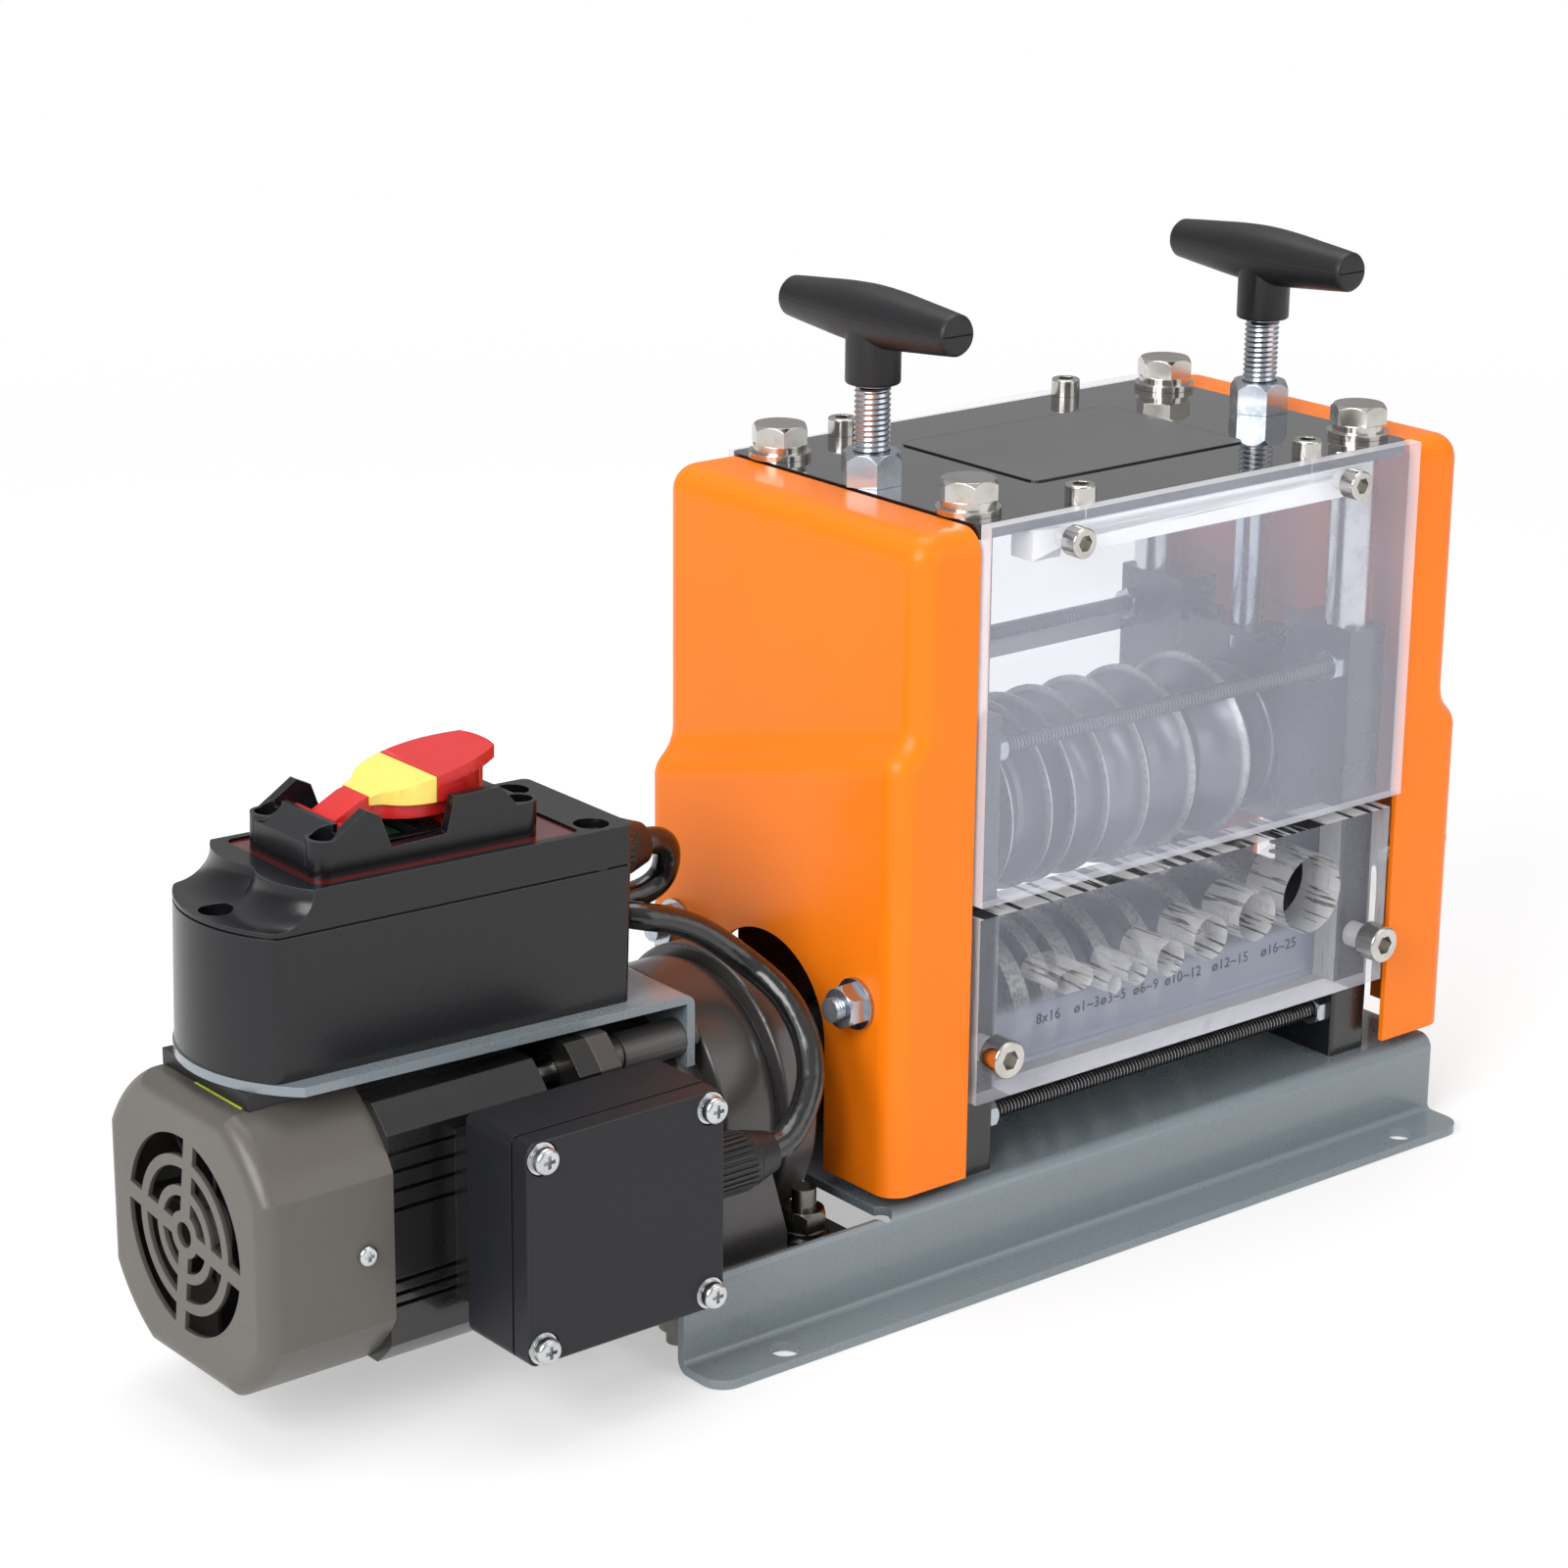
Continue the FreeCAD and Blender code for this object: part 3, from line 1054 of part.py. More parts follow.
def coupling_spider():
    ring = ring_x(14.6, 8.7, -79.3, -74.7)
    left = coupling_hub(-94.0, -79.9, (-80.5, -74.0), 0.0)
    right = coupling_hub(-73.9, -60.0, (-80.0, -73.5), 60.0)
    spider = ring.cut(left).cut(right)
    hub = ring_x(8.4, 7.9, -79.3, -74.7)
    return fuse([spider, ring_x(9.5, 7.9, -79.3, -74.7).cut(left).cut(right), hub])


# terminal box


def terminal_box():
    x0, x1, y0, y1, z0, z1 = TBOX
    body = box(x0, x1, y0 + LID_T, y1, z0, z1)
    body = rounded(body, 3.0, lambda e, m: along(e, V(0, 1, 0)))
    body = rounded(body, 1.5, lambda e, m: abs(m.y - y1) < 1e-3)
    hollow = box(x0 + 2.5, x1 - 2.5, y0 + LID_T - 1, y1 - 2.5, z0 + 2.5, z1 - 2.5)
    body = body.cut(hollow)
    posts = []
    holes = [rod_x(5.0, x1 - 4, x1 + 1, TERMINAL_GLAND[1], TERMINAL_GLAND[2])]
    for x in (x0 + 5.2, x1 - 5.2):
        for z in (z0 + 5.2, z1 - 5.2):
            posts.append(rod_y(4.2, y0 + LID_T, y1 - 1, x, z))
            holes.append(rod_y(2.0 + THREAD_GAP, y0 + LID_T - 1, y1 - 6, x, z))
    body = fuse([body] + [p.common(box(x0, x1, y0, y1, z0, z1)) for p in posts])
    return cut(body, holes)


def terminal_lid():
    x0, x1, y0, y1, z0, z1 = TBOX
    lid = box(x0, x1, y0, y0 + LID_T, z0, z1)
    lid = rounded(lid, 3.0, lambda e, m: along(e, V(0, 1, 0)))
    lid = rounded(lid, 1.2, lambda e, m: abs(m.y - y0) < 1e-3)
    hollow = box(x0 + 2.5, x1 - 2.5, y0 + 2.5, y0 + LID_T + 1, z0 + 2.5, z1 - 2.5)
    corner = []
    holes = []
    for x in (x0 + 5.2, x1 - 5.2):
        for z in (z0 + 5.2, z1 - 5.2):
            corner.append(rod_y(4.4, y0, y0 + LID_T, x, z))
            holes.append(rod_y(2.0 + 0.3, y0 - 1, y0 + LID_T + 1, x, z))
            holes.append(rod_y(5.4, y0 - 1, y0 + 1.2, x, z))
    lid = fuse([lid.cut(hollow)] + [c.common(lid) for c in corner])
    groove = box(x0 - 1, x1 + 1, y0 + LID_T - 1.0, y0 + LID_T, z0 - 1, z1 + 1)
    keep = box(x0 + 0.8, x1 - 0.8, y0, y0 + LID_T + 1, z0 + 0.8, z1 - 0.8)
    return cut(lid.cut(groove.cut(keep)), holes)


def terminal_screws():
    x0, x1, y0, y1, z0, z1 = TBOX
    solids = []
    for x in (x0 + 5.2, x1 - 5.2):
        for z in (z0 + 5.2, z1 - 5.2):
            parts = [washer(5.0, 2.2, 0, 0.8), spring_washer(4.2, 2.2, 0.8, 1.0)]
            screw = pan_screw(2.0, 4.2, 3.0, 18.0)
            screw.translate(V(0, 0, 1.8))
            solids += [place(s, (x, y0 + 1.2, z), (0, -1, 0)) for s in parts + [screw]]
    return Part.makeCompound(solids)


def gland(length, r):
    """Ribbed strain relief along +Z with a smooth collar."""
    body = ribbed(r, r - 0.7, 30, 0.0, length * 0.72)
    cone = Part.makeCone(r + 0.5, r - 1.2, length * 0.16, V(0, 0, length * 0.56))
    body = body.common(rod_z(r + 1, 0, length * 0.56).fuse(cone))
    dome = Part.makeCone(r - 0.9, r - 3.2, length * 0.28, V(0, 0, length * 0.72))
    body = body.fuse(rod_z(r - 1.0, 0, length * 0.72)).fuse(dome).removeSplitter()
    return body.cut(rod_z(CABLE_R + RUN_GAP, -1, length + 1))


def glands():
    one = leaned(place(gland(24.0, 10.0), SWITCH_GLAND, (1, 0, 0)))
    two = place(gland(30.0, 9.8), TERMINAL_GLAND, (1, 0, 0))
    return Part.makeCompound([one, two])


def link_cable():
    """Sleeved cable between the two boxes: straight runs joined by tangent arcs."""
    pts = [V(*p) for p in CABLE_ROUTE]
    edges = []
    here = pts[0]
    smallest = 1e9
    for k in range(1, len(pts) - 1):
        a = (pts[k] - pts[k - 1])
        b = (pts[k + 1] - pts[k])
        run_a, run_b = a.Length, b.Length
        a.normalize()
        b.normalize()
        turn = a.getAngle(b)
        if turn < 1e-4:
            continue
        reach = 0.45 * min(run_a, run_b)
        radius = reach / math.tan(turn / 2)
        smallest = min(smallest, radius)
        p0 = pts[k] - a * reach
        p1 = pts[k] + b * reach
        bis = (b - a)
        bis.normalize()
        centre = pts[k] + bis * (radius / math.cos(turn / 2))
        mid = centre - bis * radius
        edges.append(Part.makeLine(here, p0))
        edges.append(Part.Arc(p0, mid, p1).toShape())
        here = p1
        print("cable bend %d radius, mm: %.1f" % (k, radius))
    edges.append(Part.makeLine(here, pts[-1]))
    path = Part.Wire(edges)
    start = pts[1] - pts[0]
    circle = Part.Wire(Part.makeCircle(CABLE_R, pts[0], start))
    tube = path.makePipeShell([circle], True, False)
    print("cable length, mm: %.1f" % path.Length)
    print("cable volume over section times length: %.4f" % (tube.Volume / (math.pi * CABLE_R ** 2 * path.Length)))
    return tube


# switch box

def round_end(x0, x1, y, end_r, z0, z1):
    """Upright bar with straight sides and a round left end."""
    mid = x0 + end_r
    side = mid - math.sqrt(end_r * end_r - y * y)
    sides = Part.makePolygon([V(side, -y, z0), V(x1, -y, z0), V(x1, y, z0), V(side, y, z0)])
    end = Part.Arc(V(side, y, z0), V(x0, 0, z0), V(side, -y, z0)).toShape()
    return Part.Face(Part.Wire(sides.Edges + [end])).extrude(V(0, 0, z1 - z0))


def switch_outline(inset, z0, z1):
    x1 = BOX_X1 - inset
    body = round_end(BOX_X0 + inset, x1, BOX_Y - inset, END_R - inset, z0, z1)
    body = rounded(body, 5.0 - inset, lambda e, m: along(e, V(0, 0, 1)) and m.x < LOBE_X)
    return rounded(body, 2.5 if inset < 1 else 1.0, lambda e, m: along(e, V(0, 0, 1)) and m.x > x1 - 1)


def leaned(shape):
    """A piece of the switch turned with the bracket plate about its bend."""
    out = shape.copy()
    out.rotate(V(BRACKET_X, 0, BOX_Z0), V(0, 1, 0), BRACKET_LEAN)
    return out


def switch_box():
    body = switch_outline(0.0, BOX_Z0, BOX_SEAM)
    hollow = switch_outline(2.5, BOX_Z0 + 2.5, BOX_SEAM + 1)
    body = body.cut(hollow)
    posts = []
    holes = [rod_x(4.9, BOX_X1 - 4, BOX_X1 + 1, 0, SWITCH_GLAND[2])]
    for x, y in LID_HOLES:
        posts.append(rod_z(4.0, BOX_Z0 + 1, BOX_SEAM - 0.5, x, y))
        holes.append(rod_z(1.75 + THREAD_GAP, BOX_SEAM - 14, BOX_SEAM + 1, x, y))
    cup = LEDGE_Z - 7.3
    posts.append(rod_z(4.0, BOX_Z0 + 1, cup - 0.5, *LEDGE_HOLE))
    holes.append(rod_z(1.75 + THREAD_GAP, cup - 14, cup + 1, *LEDGE_HOLE))
    holes.append(rod_z(LID_SINK + 1.0, cup - 0.5, BOX_SEAM + 1, *LEDGE_HOLE))
    for x in BOX_SCREW_X:
        holes.append(rod_z(2.25, BOX_Z0 - 1, BOX_Z0 + 3, x, 0))
    return cut(fuse([body] + posts), holes)


def lid_cove():
    """What is taken off the left end of the lid: a ledge, a cove and two lobed walls."""
    off = box(BOX_X0 - 5, LOBE_X, -BOX_Y - 3, BOX_Y + 3, LEDGE_Z, BOX_Z1 + 1)
    off = off.cut(rod_z(LOBE_R, LEDGE_Z - 1, BOX_Z1 + 2, LOBE_X, -LOBE_Y))
    off = off.cut(rod_z(LOBE_R, LEDGE_Z - 1, BOX_Z1 + 2, LOBE_X, LOBE_Y))
    return rounded(off, COVE_R, lambda e, m: m.z < LEDGE_Z + 1e-3 and e.Curve.TypeId == "Part::GeomCircle")


def switch_lid():
    """Lid with a low ledge at its round end and a shallow recess for the gasket."""
    groove = 0.8
    lid = switch_outline(0.0, BOX_SEAM + groove, BOX_Z1)
    neck = switch_outline(0.9, BOX_SEAM, BOX_SEAM + groove + 1)
    lid = lid.fuse(neck).removeSplitter()
    inside = switch_outline(2.5, BOX_SEAM - 1, BOX_Z1 - DECK_SINK - 2.4)
    lid = lid.cut(inside.cut(box(BOX_X0 - 9, -280, -40, 40, BOX_Z0, BOX_Z1)))
    lid = lid.cut(lid_cove())
    adds = [rod_z(LID_SINK + 1.6, BOX_SEAM, BOX_Z1 - DECK_SINK, x, y) for x, y in LID_HOLES]
    adds.append(rod_z(LID_SINK + 0.6, LEDGE_Z - 7.3, LEDGE_Z, *LEDGE_HOLE))
    lid = fuse([lid] + adds)
    sink = box(SINK_X0, SINK_X1, -SINK_Y, SINK_Y, BOX_Z1 - DECK_SINK, BOX_Z1 + 1)
    tools = [rounded(sink, 3.5, lambda e, m: along(e, V(0, 0, 1)))]
    tools.append(box(PIT_X0 - 0.5, PIT_X1 + 0.5, -PIT_Y - 0.5, PIT_Y + 0.5, BOX_SEAM - 1, BOX_Z1 + 1))
    for x, y in LID_HOLES:
        tools.append(rod_z(2.0, BOX_SEAM - 1, BOX_Z1 + 1, x, y))
        tools.append(rod_z(LID_SINK, BOX_Z1 - 4.0, BOX_Z1 + 1, x, y))
    for x, y in boss_places():
        tools.append(rod_z(1.5 + THREAD_GAP, BOX_SEAM - 1, BOX_Z1 + 1, x, y))
    tools.append(rod_z(2.0, LEDGE_Z - 8, LEDGE_Z + 1, *LEDGE_HOLE))
    tools.append(rod_z(LID_SINK - 0.4, LEDGE_Z - 5.8, LEDGE_Z + 4, *LEDGE_HOLE))
    return cut(lid, tools)


def lid_screws():
    solids = []
    for x, y in LID_HOLES:
        solids.append(place(pan_screw(1.75, 3.6, 2.0, 18.0), (x, y, BOX_Z1 - 4.0), (0, 0, 1)))
    x, y = LEDGE_HOLE
    solids.append(place(pan_screw(1.75, 3.6, 2.0, 12.0), (x, y, LEDGE_Z - 5.8), (0, 0, 1)))
    return Part.makeCompound(solids)


def boss_places():
    """Middles of the four corner bosses of the switch frame."""
    return [(x, y) for x in (MOD_X0 + BOSS_R, MOD_X1 - BOSS_R) for y in (BOSS_R - MOD_Y, MOD_Y - BOSS_R)]


def switch_gasket():
    gap = 0.3
    sheet = box(SINK_X0 + gap, SINK_X1 - gap, -SINK_Y + gap, SINK_Y - gap, BOX_Z1 - DECK_SINK, MOD_Z0)
    sheet = rounded(sheet, 3.2, lambda e, m: along(e, V(0, 0, 1)))
    tools = [box(PIT_X0 - 0.5, PIT_X1 + 0.5, -PIT_Y - 0.5, PIT_Y + 0.5, BOX_SEAM, MOD_Z0 + 1)]
    tools += [rod_z(1.6, BOX_SEAM, MOD_Z0 + 1, x, y) for x, y in boss_places()]
    return cut(sheet, tools)


def switch_frame():
    """Black surround: four corner bosses and side walls with a dip for the fingers."""
    plate = box(MOD_X0, MOD_X1, -MOD_Y, MOD_Y, MOD_Z0, MOD_Z0 + 3.2)
    plate = rounded(plate, BOSS_R - 0.01, lambda e, m: along(e, V(0, 0, 1)))
    parts = [plate]
    wall_t = 3.4
    left, right = MOD_X0 + BOSS_R, MOD_X1 - BOSS_R
    wall = [(left, MOD_Z0), (left, BOSS_TOP), (-264.0, 181.2), (-256.9, 185.9), (-251.8, 183.5), (-247.7, 173.1),
            (-228.2, 173.9), (-225.5, 185.0), (-209.2, 185.3), (-202.6, BOSS_TOP), (right, BOSS_TOP), (right, MOD_Z0)]
    for y0 in (-MOD_Y, MOD_Y - wall_t):
        parts.append(prism([(x, y0, z) for x, z in wall], (0, wall_t, 0)))
    ridge = [(MOD_X0, MOD_Z0), (MOD_X0, 176.7), (-264.3, 181.2), (PIT_X0, 181.2), (PIT_X0, MOD_Z0)]
    parts.append(prism([(x, -PIT_Y, z) for x, z in ridge], (0, 2 * PIT_Y, 0)))
    parts.append(box(PIT_X1 + 2, MOD_X1, -PIT_Y, PIT_Y, MOD_Z0, BOSS_TOP - 2))
    for x, y in boss_places():
        parts.append(rod_z(BOSS_R, MOD_Z0, BOSS_TOP, x, y))
    frame = fuse(parts)
    tools = [box(PIT_X0 - 0.3, PIT_X1 + 0.3, -PIT_Y - 0.3, PIT_Y + 0.3, MOD_Z0 - 1, MOD_Z0 + 8)]
    for x, y in boss_places():
        tools.append(rod_z(4.2, BOSS_TOP - 6.0, BOSS_TOP + 8, x, y))
        tools.append(rod_z(1.6, MOD_Z0 - 1, BOSS_TOP + 1, x, y))
    tools.append(rod_y(1.5 + RUN_GAP, -19.0, 19.0, FLAP_X, FLAP_Z))
    return cut(frame, tools)


def frame_module_screws():
    solids = [place(pan_screw(1.5, 3.0, 2.0, 12.0), (x, y, BOSS_TOP - 6.0), (0, 0, 1)) for x, y in boss_places()]
    return Part.makeCompound(solids)


def switch_module():
    """Contact block under the frame with a bay for each button."""
    body = box(PIT_X0, PIT_X1, -PIT_Y, PIT_Y, 128, MOD_Z0 + 6.0)
    body = rounded(body, 1.5, lambda e, m: along(e, V(0, 0, 1)))
    tools = []
    for x, half in BUTTONS:
        tools.append(box(x - half - RUN_GAP, x + half + RUN_GAP, -10 - RUN_GAP, 10 + RUN_GAP, 158, 190))
    return cut(body, tools)


def button(index):
    x, half = BUTTONS[index]
    cap = box(x - half, x + half, -10, 10, 162.0, BUTTON_TOP)
    return rounded(cap, 1.2, lambda e, m: m.z > BUTTON_TOP - 1e-3)


def flap_plan(neck, side, z0, z1):
    """Upright block whose sides are smooth curves through points on the back half."""
    front = [V(x, -y, z0) for x, y in side]
    back = [V(x, y, z0) for x, y in side]
    near, far = Part.BSplineCurve(), Part.BSplineCurve()
    near.interpolate(front)
    far.interpolate(back)
    nose = Part.makeLine(front[-1], back[-1])
    if side[-1][1] > 8.0:
        nose = Part.Arc(front[-1], V(side[-1][0] + 1.4, 0, z0), back[-1]).toShape()
    root = Part.makePolygon([back[0], V(neck, back[0].y, z0), V(neck, front[0].y, z0), front[0]])
    wire = Part.Wire([near.toShape(), nose, far.toShape()] + root.Edges)
    return Part.Face(wire).extrude(V(0, 0, z1 - z0))


def stop_flap():
    """Hinged stop flap: a wide domed paddle on an arm, with a nose to lift it by."""
    lip = [(-246.4, 12.0), (-238.0, 14.8), (-228.4, 15.4), (-219.0, 15.0), (-211.0, 12.9), (-203.6, 9.3)]
    wall = [(-246.4, 12.0), (-238.0, 14.8), (-228.4, 15.4), (-219.0, 14.6), (-212.0, 11.7), (-206.5, 7.6)]
    skirt = [(-245.5, 9.6), (-238.0, 12.2), (-228.4, 12.9), (-219.0, 12.2), (-213.0, 9.8), (-209.0, 7.0)]
    crest = [(-248.0, 184.6), (-228.4, 190.2), (-203.6, 194.7), (-198.0, 195.7)]

    def under(drop):
        top = [(x, -20, z - drop) for x, z in crest]
        return prism(top + [(-198.0, -20, 160.0), (-248.0, -20, 160.0)], (0, 40, 0))

    slab = flap_plan(-246.8, lip, FLAP_UNDER, 200.0).common(under(0.0)).cut(under(4.0))
    body = flap_plan(-246.8, wall, FLAP_UNDER, 200.0).common(under(0.0))
    below = flap_plan(-246.0, skirt, FLAP_UNDER - 4.8, FLAP_UNDER + 0.5)
    arm = [(-259.9, 176.5), (-258.8, 179.3), (-249.7, 184.1), (-245.5, 185.3), (-245.5, 178.5), (-252.0, 176.5),
           (-255.0, 174.3), (-258.0, 174.2)]
    neck = prism([(x, -6.6, z) for x, z in arm], (0, 13.2, 0))
    pin = rod_y(1.5, -18.6, 18.6, FLAP_X, FLAP_Z)
    push = box(-222, -209.5, -8, 8, BUTTON_TOP + 2.0, FLAP_UNDER + 1)
    return fuse([body, slab, below, neck, pin, push])


def bracket_profile():
    """Edge line of the bent plate from the foot of its leg, as (x, z)."""
    a = math.radians(BRACKET_LEAN)
    far = BRACKET_X - BOX_X0 + 12.0
    foot = AXIS_Z + BOSS_Z - 8.5
    bend = -SHEET * math.tan((math.pi / 2 - a) / 2)
    end = (BRACKET_X - far * math.cos(a), BOX_Z0 + far * math.sin(a))
    low = (end[0] - SHEET * math.sin(a), end[1] - SHEET * math.cos(a))
    inner = (BRACKET_X - SHEET, BOX_Z0 + bend)
    return [(BRACKET_X, foot), (BRACKET_X, BOX_Z0), end, low, inner, (BRACKET_X - SHEET, foot)]


def switch_bracket():
    """Bent plate that carries the switch box above the motor."""
    bracket = prism([(x, -BRACKET_Y, z) for x, z in bracket_profile()], (0, 2 * BRACKET_Y, 0))
    bracket = rounded(bracket, 4.0, lambda e, m: along(e, V(0, 1, 0)) and m.x > BRACKET_X - 0.5 and m.z > BOX_Z0 - 1)
    plan = round_end(BOX_X0 - 0.5, BRACKET_X + 5, BRACKET_Y, END_R + 0.5, 0.0, BOX_Z0 + 20)
    bracket = bracket.common(leaned(plan))
    tools = [rod_x(BELL_R - 6, BRACKET_X - 4, BRACKET_X + 1, 0, AXIS_Z)]
    for side in (-1, 1):
        tools.append(rod_x(2.75, BRACKET_X - 4, BRACKET_X + 1, side * BOSS_Y, AXIS_Z + BOSS_Z))
    for x in BOX_SCREW_X:
        tools.append(leaned(rod_z(2.25, BOX_Z0 - 5, BOX_Z0 + 1, x, 0)))
    return cut(bracket, tools)


def box_screws():
    solids = [place(pan_screw(2.0, 3.8, 2.4, 2.5 + SHEET), (x, 0, BOX_Z0 + 2.5), (0, 0, 1)) for x in BOX_SCREW_X]
    return Part.makeCompound(solids)


def switch_screws():
    return leaned(group(lid_screws, box_screws, frame_module_screws))


def switch_pad():
    """Rubber wedge between the fan cover and the plate."""
    pad = box(-300, -272, -24, 24, AXIS_Z + FAN_HALF, BOX_Z0 + 10)
    return pad.cut(leaned(box(BOX_X0 - 20, BRACKET_X, -40, 40, BOX_Z0 - SHEET, BOX_Z0 + 40)))


def group(*makers):
    """One node from several makers, kept as separate solids."""
    solids = []
    for make in makers:
        solids += make().Solids
    return Part.makeCompound(solids)


PARTS = {
    "base_channel": base_channel,
    "motor_plate": motor_plate,
    "foot_bolts": foot_bolts,
    "side_frame_left": lambda: side_frame(FRAME_XS[0]),
    "side_frame_right": lambda: side_frame(FRAME_XS[1]),
    "socket_screws": lambda: group(frame_screws, guide_screws, bar_screws, panel_screws, cross_bar_screws),
    "spacer_columns": spacer_columns,
    "top_plate": top_plate,
    "rating_plate": rating_plate,
    "top_bolts": top_bolts,
    "press_nuts": press_nuts,
    "panel_bars": lambda: group(panel_bars, cross_bar),
    "front_panel": lambda: clear_panel(-1),
    "rear_panel": lambda: clear_panel(1),
    "guide_block": guide_block,
    "tie_rods": tie_rods,
    "tie_rod_nuts": tie_rod_nuts,
    "cover_left": left_cover,
    "cover_right": lambda: turned_round(left_cover()),
    "cover_studs": lambda: group(cover_studs, cover_nuts),
    "bearing_outers": lambda: group(lambda: bearing_outers(AXIS_Z), motor_bearings),
    "feed_shaft": feed_shaft,
    "feed_roller": feed_roller,
    "cutter_bearing_outers": lambda: bearing_outers(BLADE_Z),
    "cutter_shaft": cutter_shaft,
    "cutter_discs": cutter_discs,
    "bearing_blocks": bearing_blocks,
    "keeper_plates": lambda: group(keeper_plates, keeper_screws),
    "lift_springs": lift_springs,
    "press_screw_left": lambda: t_bolt(HEAD_X - PRESS_X),
    "press_screw_right": lambda: t_bolt(HEAD_X + PRESS_X),
    "grip_left": lambda: t_handle(HEAD_X - PRESS_X),
    "grip_right": lambda: t_handle(HEAD_X + PRESS_X),
    "motor_body": motor_body,
    "stator": lambda: group(stator, coil_ends),
    "rotor": rotor,
    "fan": fan,
    "fan_cover": fan_cover,
    "gearbox": gearbox,
    "gearbox_bolts": gearbox_bolts,
    "lay_shaft": lay_shaft,
    "output_shaft": output_shaft,
    "coupling_hubs": coupling_hubs,
    "coupling_spider": coupling_spider,
    "terminal_box": terminal_box,
    "terminal_lid": terminal_lid,
    "small_screws": lambda: group(terminal_screws, fan_cover_screws, switch_screws),
    "glands": glands,
    "link_cable": link_cable,
    "switch_bracket": switch_bracket,
    "switch_pad": switch_pad,
    "switch_box": lambda: leaned(switch_box()),
    "switch_lid": lambda: leaned(switch_lid()),
    "switch_gasket": lambda: leaned(switch_gasket()),
    "switch_frame": lambda: leaned(switch_frame()),
    "switch_module": lambda: leaned(switch_module()),
    "start_button": lambda: leaned(button(0)),
    "stop_button": lambda: leaned(button(1)),
    "stop_flap": lambda: leaned(stop_flap()),
}


def main():
    os.makedirs("parts", exist_ok=True)
    for name, make in PARTS.items():
        shape = make()
        if not shape.isValid():
            print("not valid:", name)
        shape.exportStep("parts/%s.step" % name)
        print("%-24s %2d solids" % (name, len(shape.Solids)))


main()
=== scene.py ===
"""Looks of the bench wire stripping machine, built around its packed construction."""

import logging
import math
from dataclasses import dataclass
from enum import Enum
from typing import Callable, Optional, Sequence, Union

import bmesh
import bpy
from mathutils import Matrix, Vector

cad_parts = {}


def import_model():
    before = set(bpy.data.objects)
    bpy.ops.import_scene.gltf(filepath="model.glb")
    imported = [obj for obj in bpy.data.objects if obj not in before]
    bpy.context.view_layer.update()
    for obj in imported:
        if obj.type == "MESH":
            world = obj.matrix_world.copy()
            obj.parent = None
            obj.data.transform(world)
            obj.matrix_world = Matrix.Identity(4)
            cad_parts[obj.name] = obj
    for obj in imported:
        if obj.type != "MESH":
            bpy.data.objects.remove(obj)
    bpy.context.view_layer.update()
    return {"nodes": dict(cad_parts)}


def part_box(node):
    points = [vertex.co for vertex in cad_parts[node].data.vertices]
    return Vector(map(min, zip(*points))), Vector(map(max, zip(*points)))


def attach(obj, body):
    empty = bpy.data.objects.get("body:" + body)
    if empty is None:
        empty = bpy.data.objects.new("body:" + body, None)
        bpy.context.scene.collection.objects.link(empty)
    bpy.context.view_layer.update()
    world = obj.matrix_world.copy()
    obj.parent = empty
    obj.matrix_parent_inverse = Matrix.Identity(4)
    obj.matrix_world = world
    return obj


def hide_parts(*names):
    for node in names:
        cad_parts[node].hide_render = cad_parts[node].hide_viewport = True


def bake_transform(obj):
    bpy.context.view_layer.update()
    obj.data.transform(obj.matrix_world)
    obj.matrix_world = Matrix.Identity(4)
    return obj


LOG = logging.getLogger("stripper")
MM = 0.001
Point = tuple[float, float, float]
Colour = tuple[float, float, float]


def linear(red: int, green: int, blue: int) -> Colour:
    """Scene colour of an 8 bit screen colour."""
    def one(level: int) -> float:
        share = level / 255.0
        return share / 12.92 if share <= 0.04045 else ((share + 0.055) / 1.055) ** 2.4
    return (one(red), one(green), one(blue))


def mm(*values: float) -> Vector:
    """Point given in millimetres, in the scene's metres."""
    return Vector([value * MM for value in values])


class Axis(Enum):
    """Direction along which a piece is turned, pushed or brushed."""

    X = Vector((1.0, 0.0, 0.0))
    Y = Vector((0.0, 1.0, 0.0))
    Z = Vector((0.0, 0.0, 1.0))


# shader graph

class Value:
    """A number on the surface; arithmetic with it adds Math nodes."""

    def __init__(self, graph: "Graph", socket: bpy.types.NodeSocket) -> None:
        """Keep the graph and the socket that gives the number."""
        self.graph = graph
        self.socket = socket

    def math(self, operation: str, *others: Union["Value", float]) -> "Value":
        """Number from a Math node.

        Args:
            operation: the Math node's operation.
            others: the node's further inputs.

        Returns:
            The node's result.
        """
        return self.graph.math(operation, self, *others)

    def __add__(self, other: Union["Value", float]) -> "Value":
        """Sum of two numbers."""
        return self.math("ADD", other)

    def __sub__(self, other: Union["Value", float]) -> "Value":
        """Difference of two numbers."""
        return self.math("SUBTRACT", other)

    def __mul__(self, other: Union["Value", float]) -> "Value":
        """Product of two numbers."""
        return self.math("MULTIPLY", other)

    def __rsub__(self, other: float) -> "Value":
        """Plain number less this one."""
        return self.graph.math("SUBTRACT", other, self)

    __radd__ = __add__
    __rmul__ = __mul__

    def step(self, low: float, high: float) -> "Value":
        """Smooth rise from 0 at low to 1 at high."""
        return self.graph.number(
            "ShaderNodeMapRange",
            {"interpolation_type": "SMOOTHSTEP", "clamp": True},
            {"Value": self, "From Min": low, "From Max": high},
            "Result",
        )


Input = Union[Value, bpy.types.NodeSocket, float, Sequence[float]]


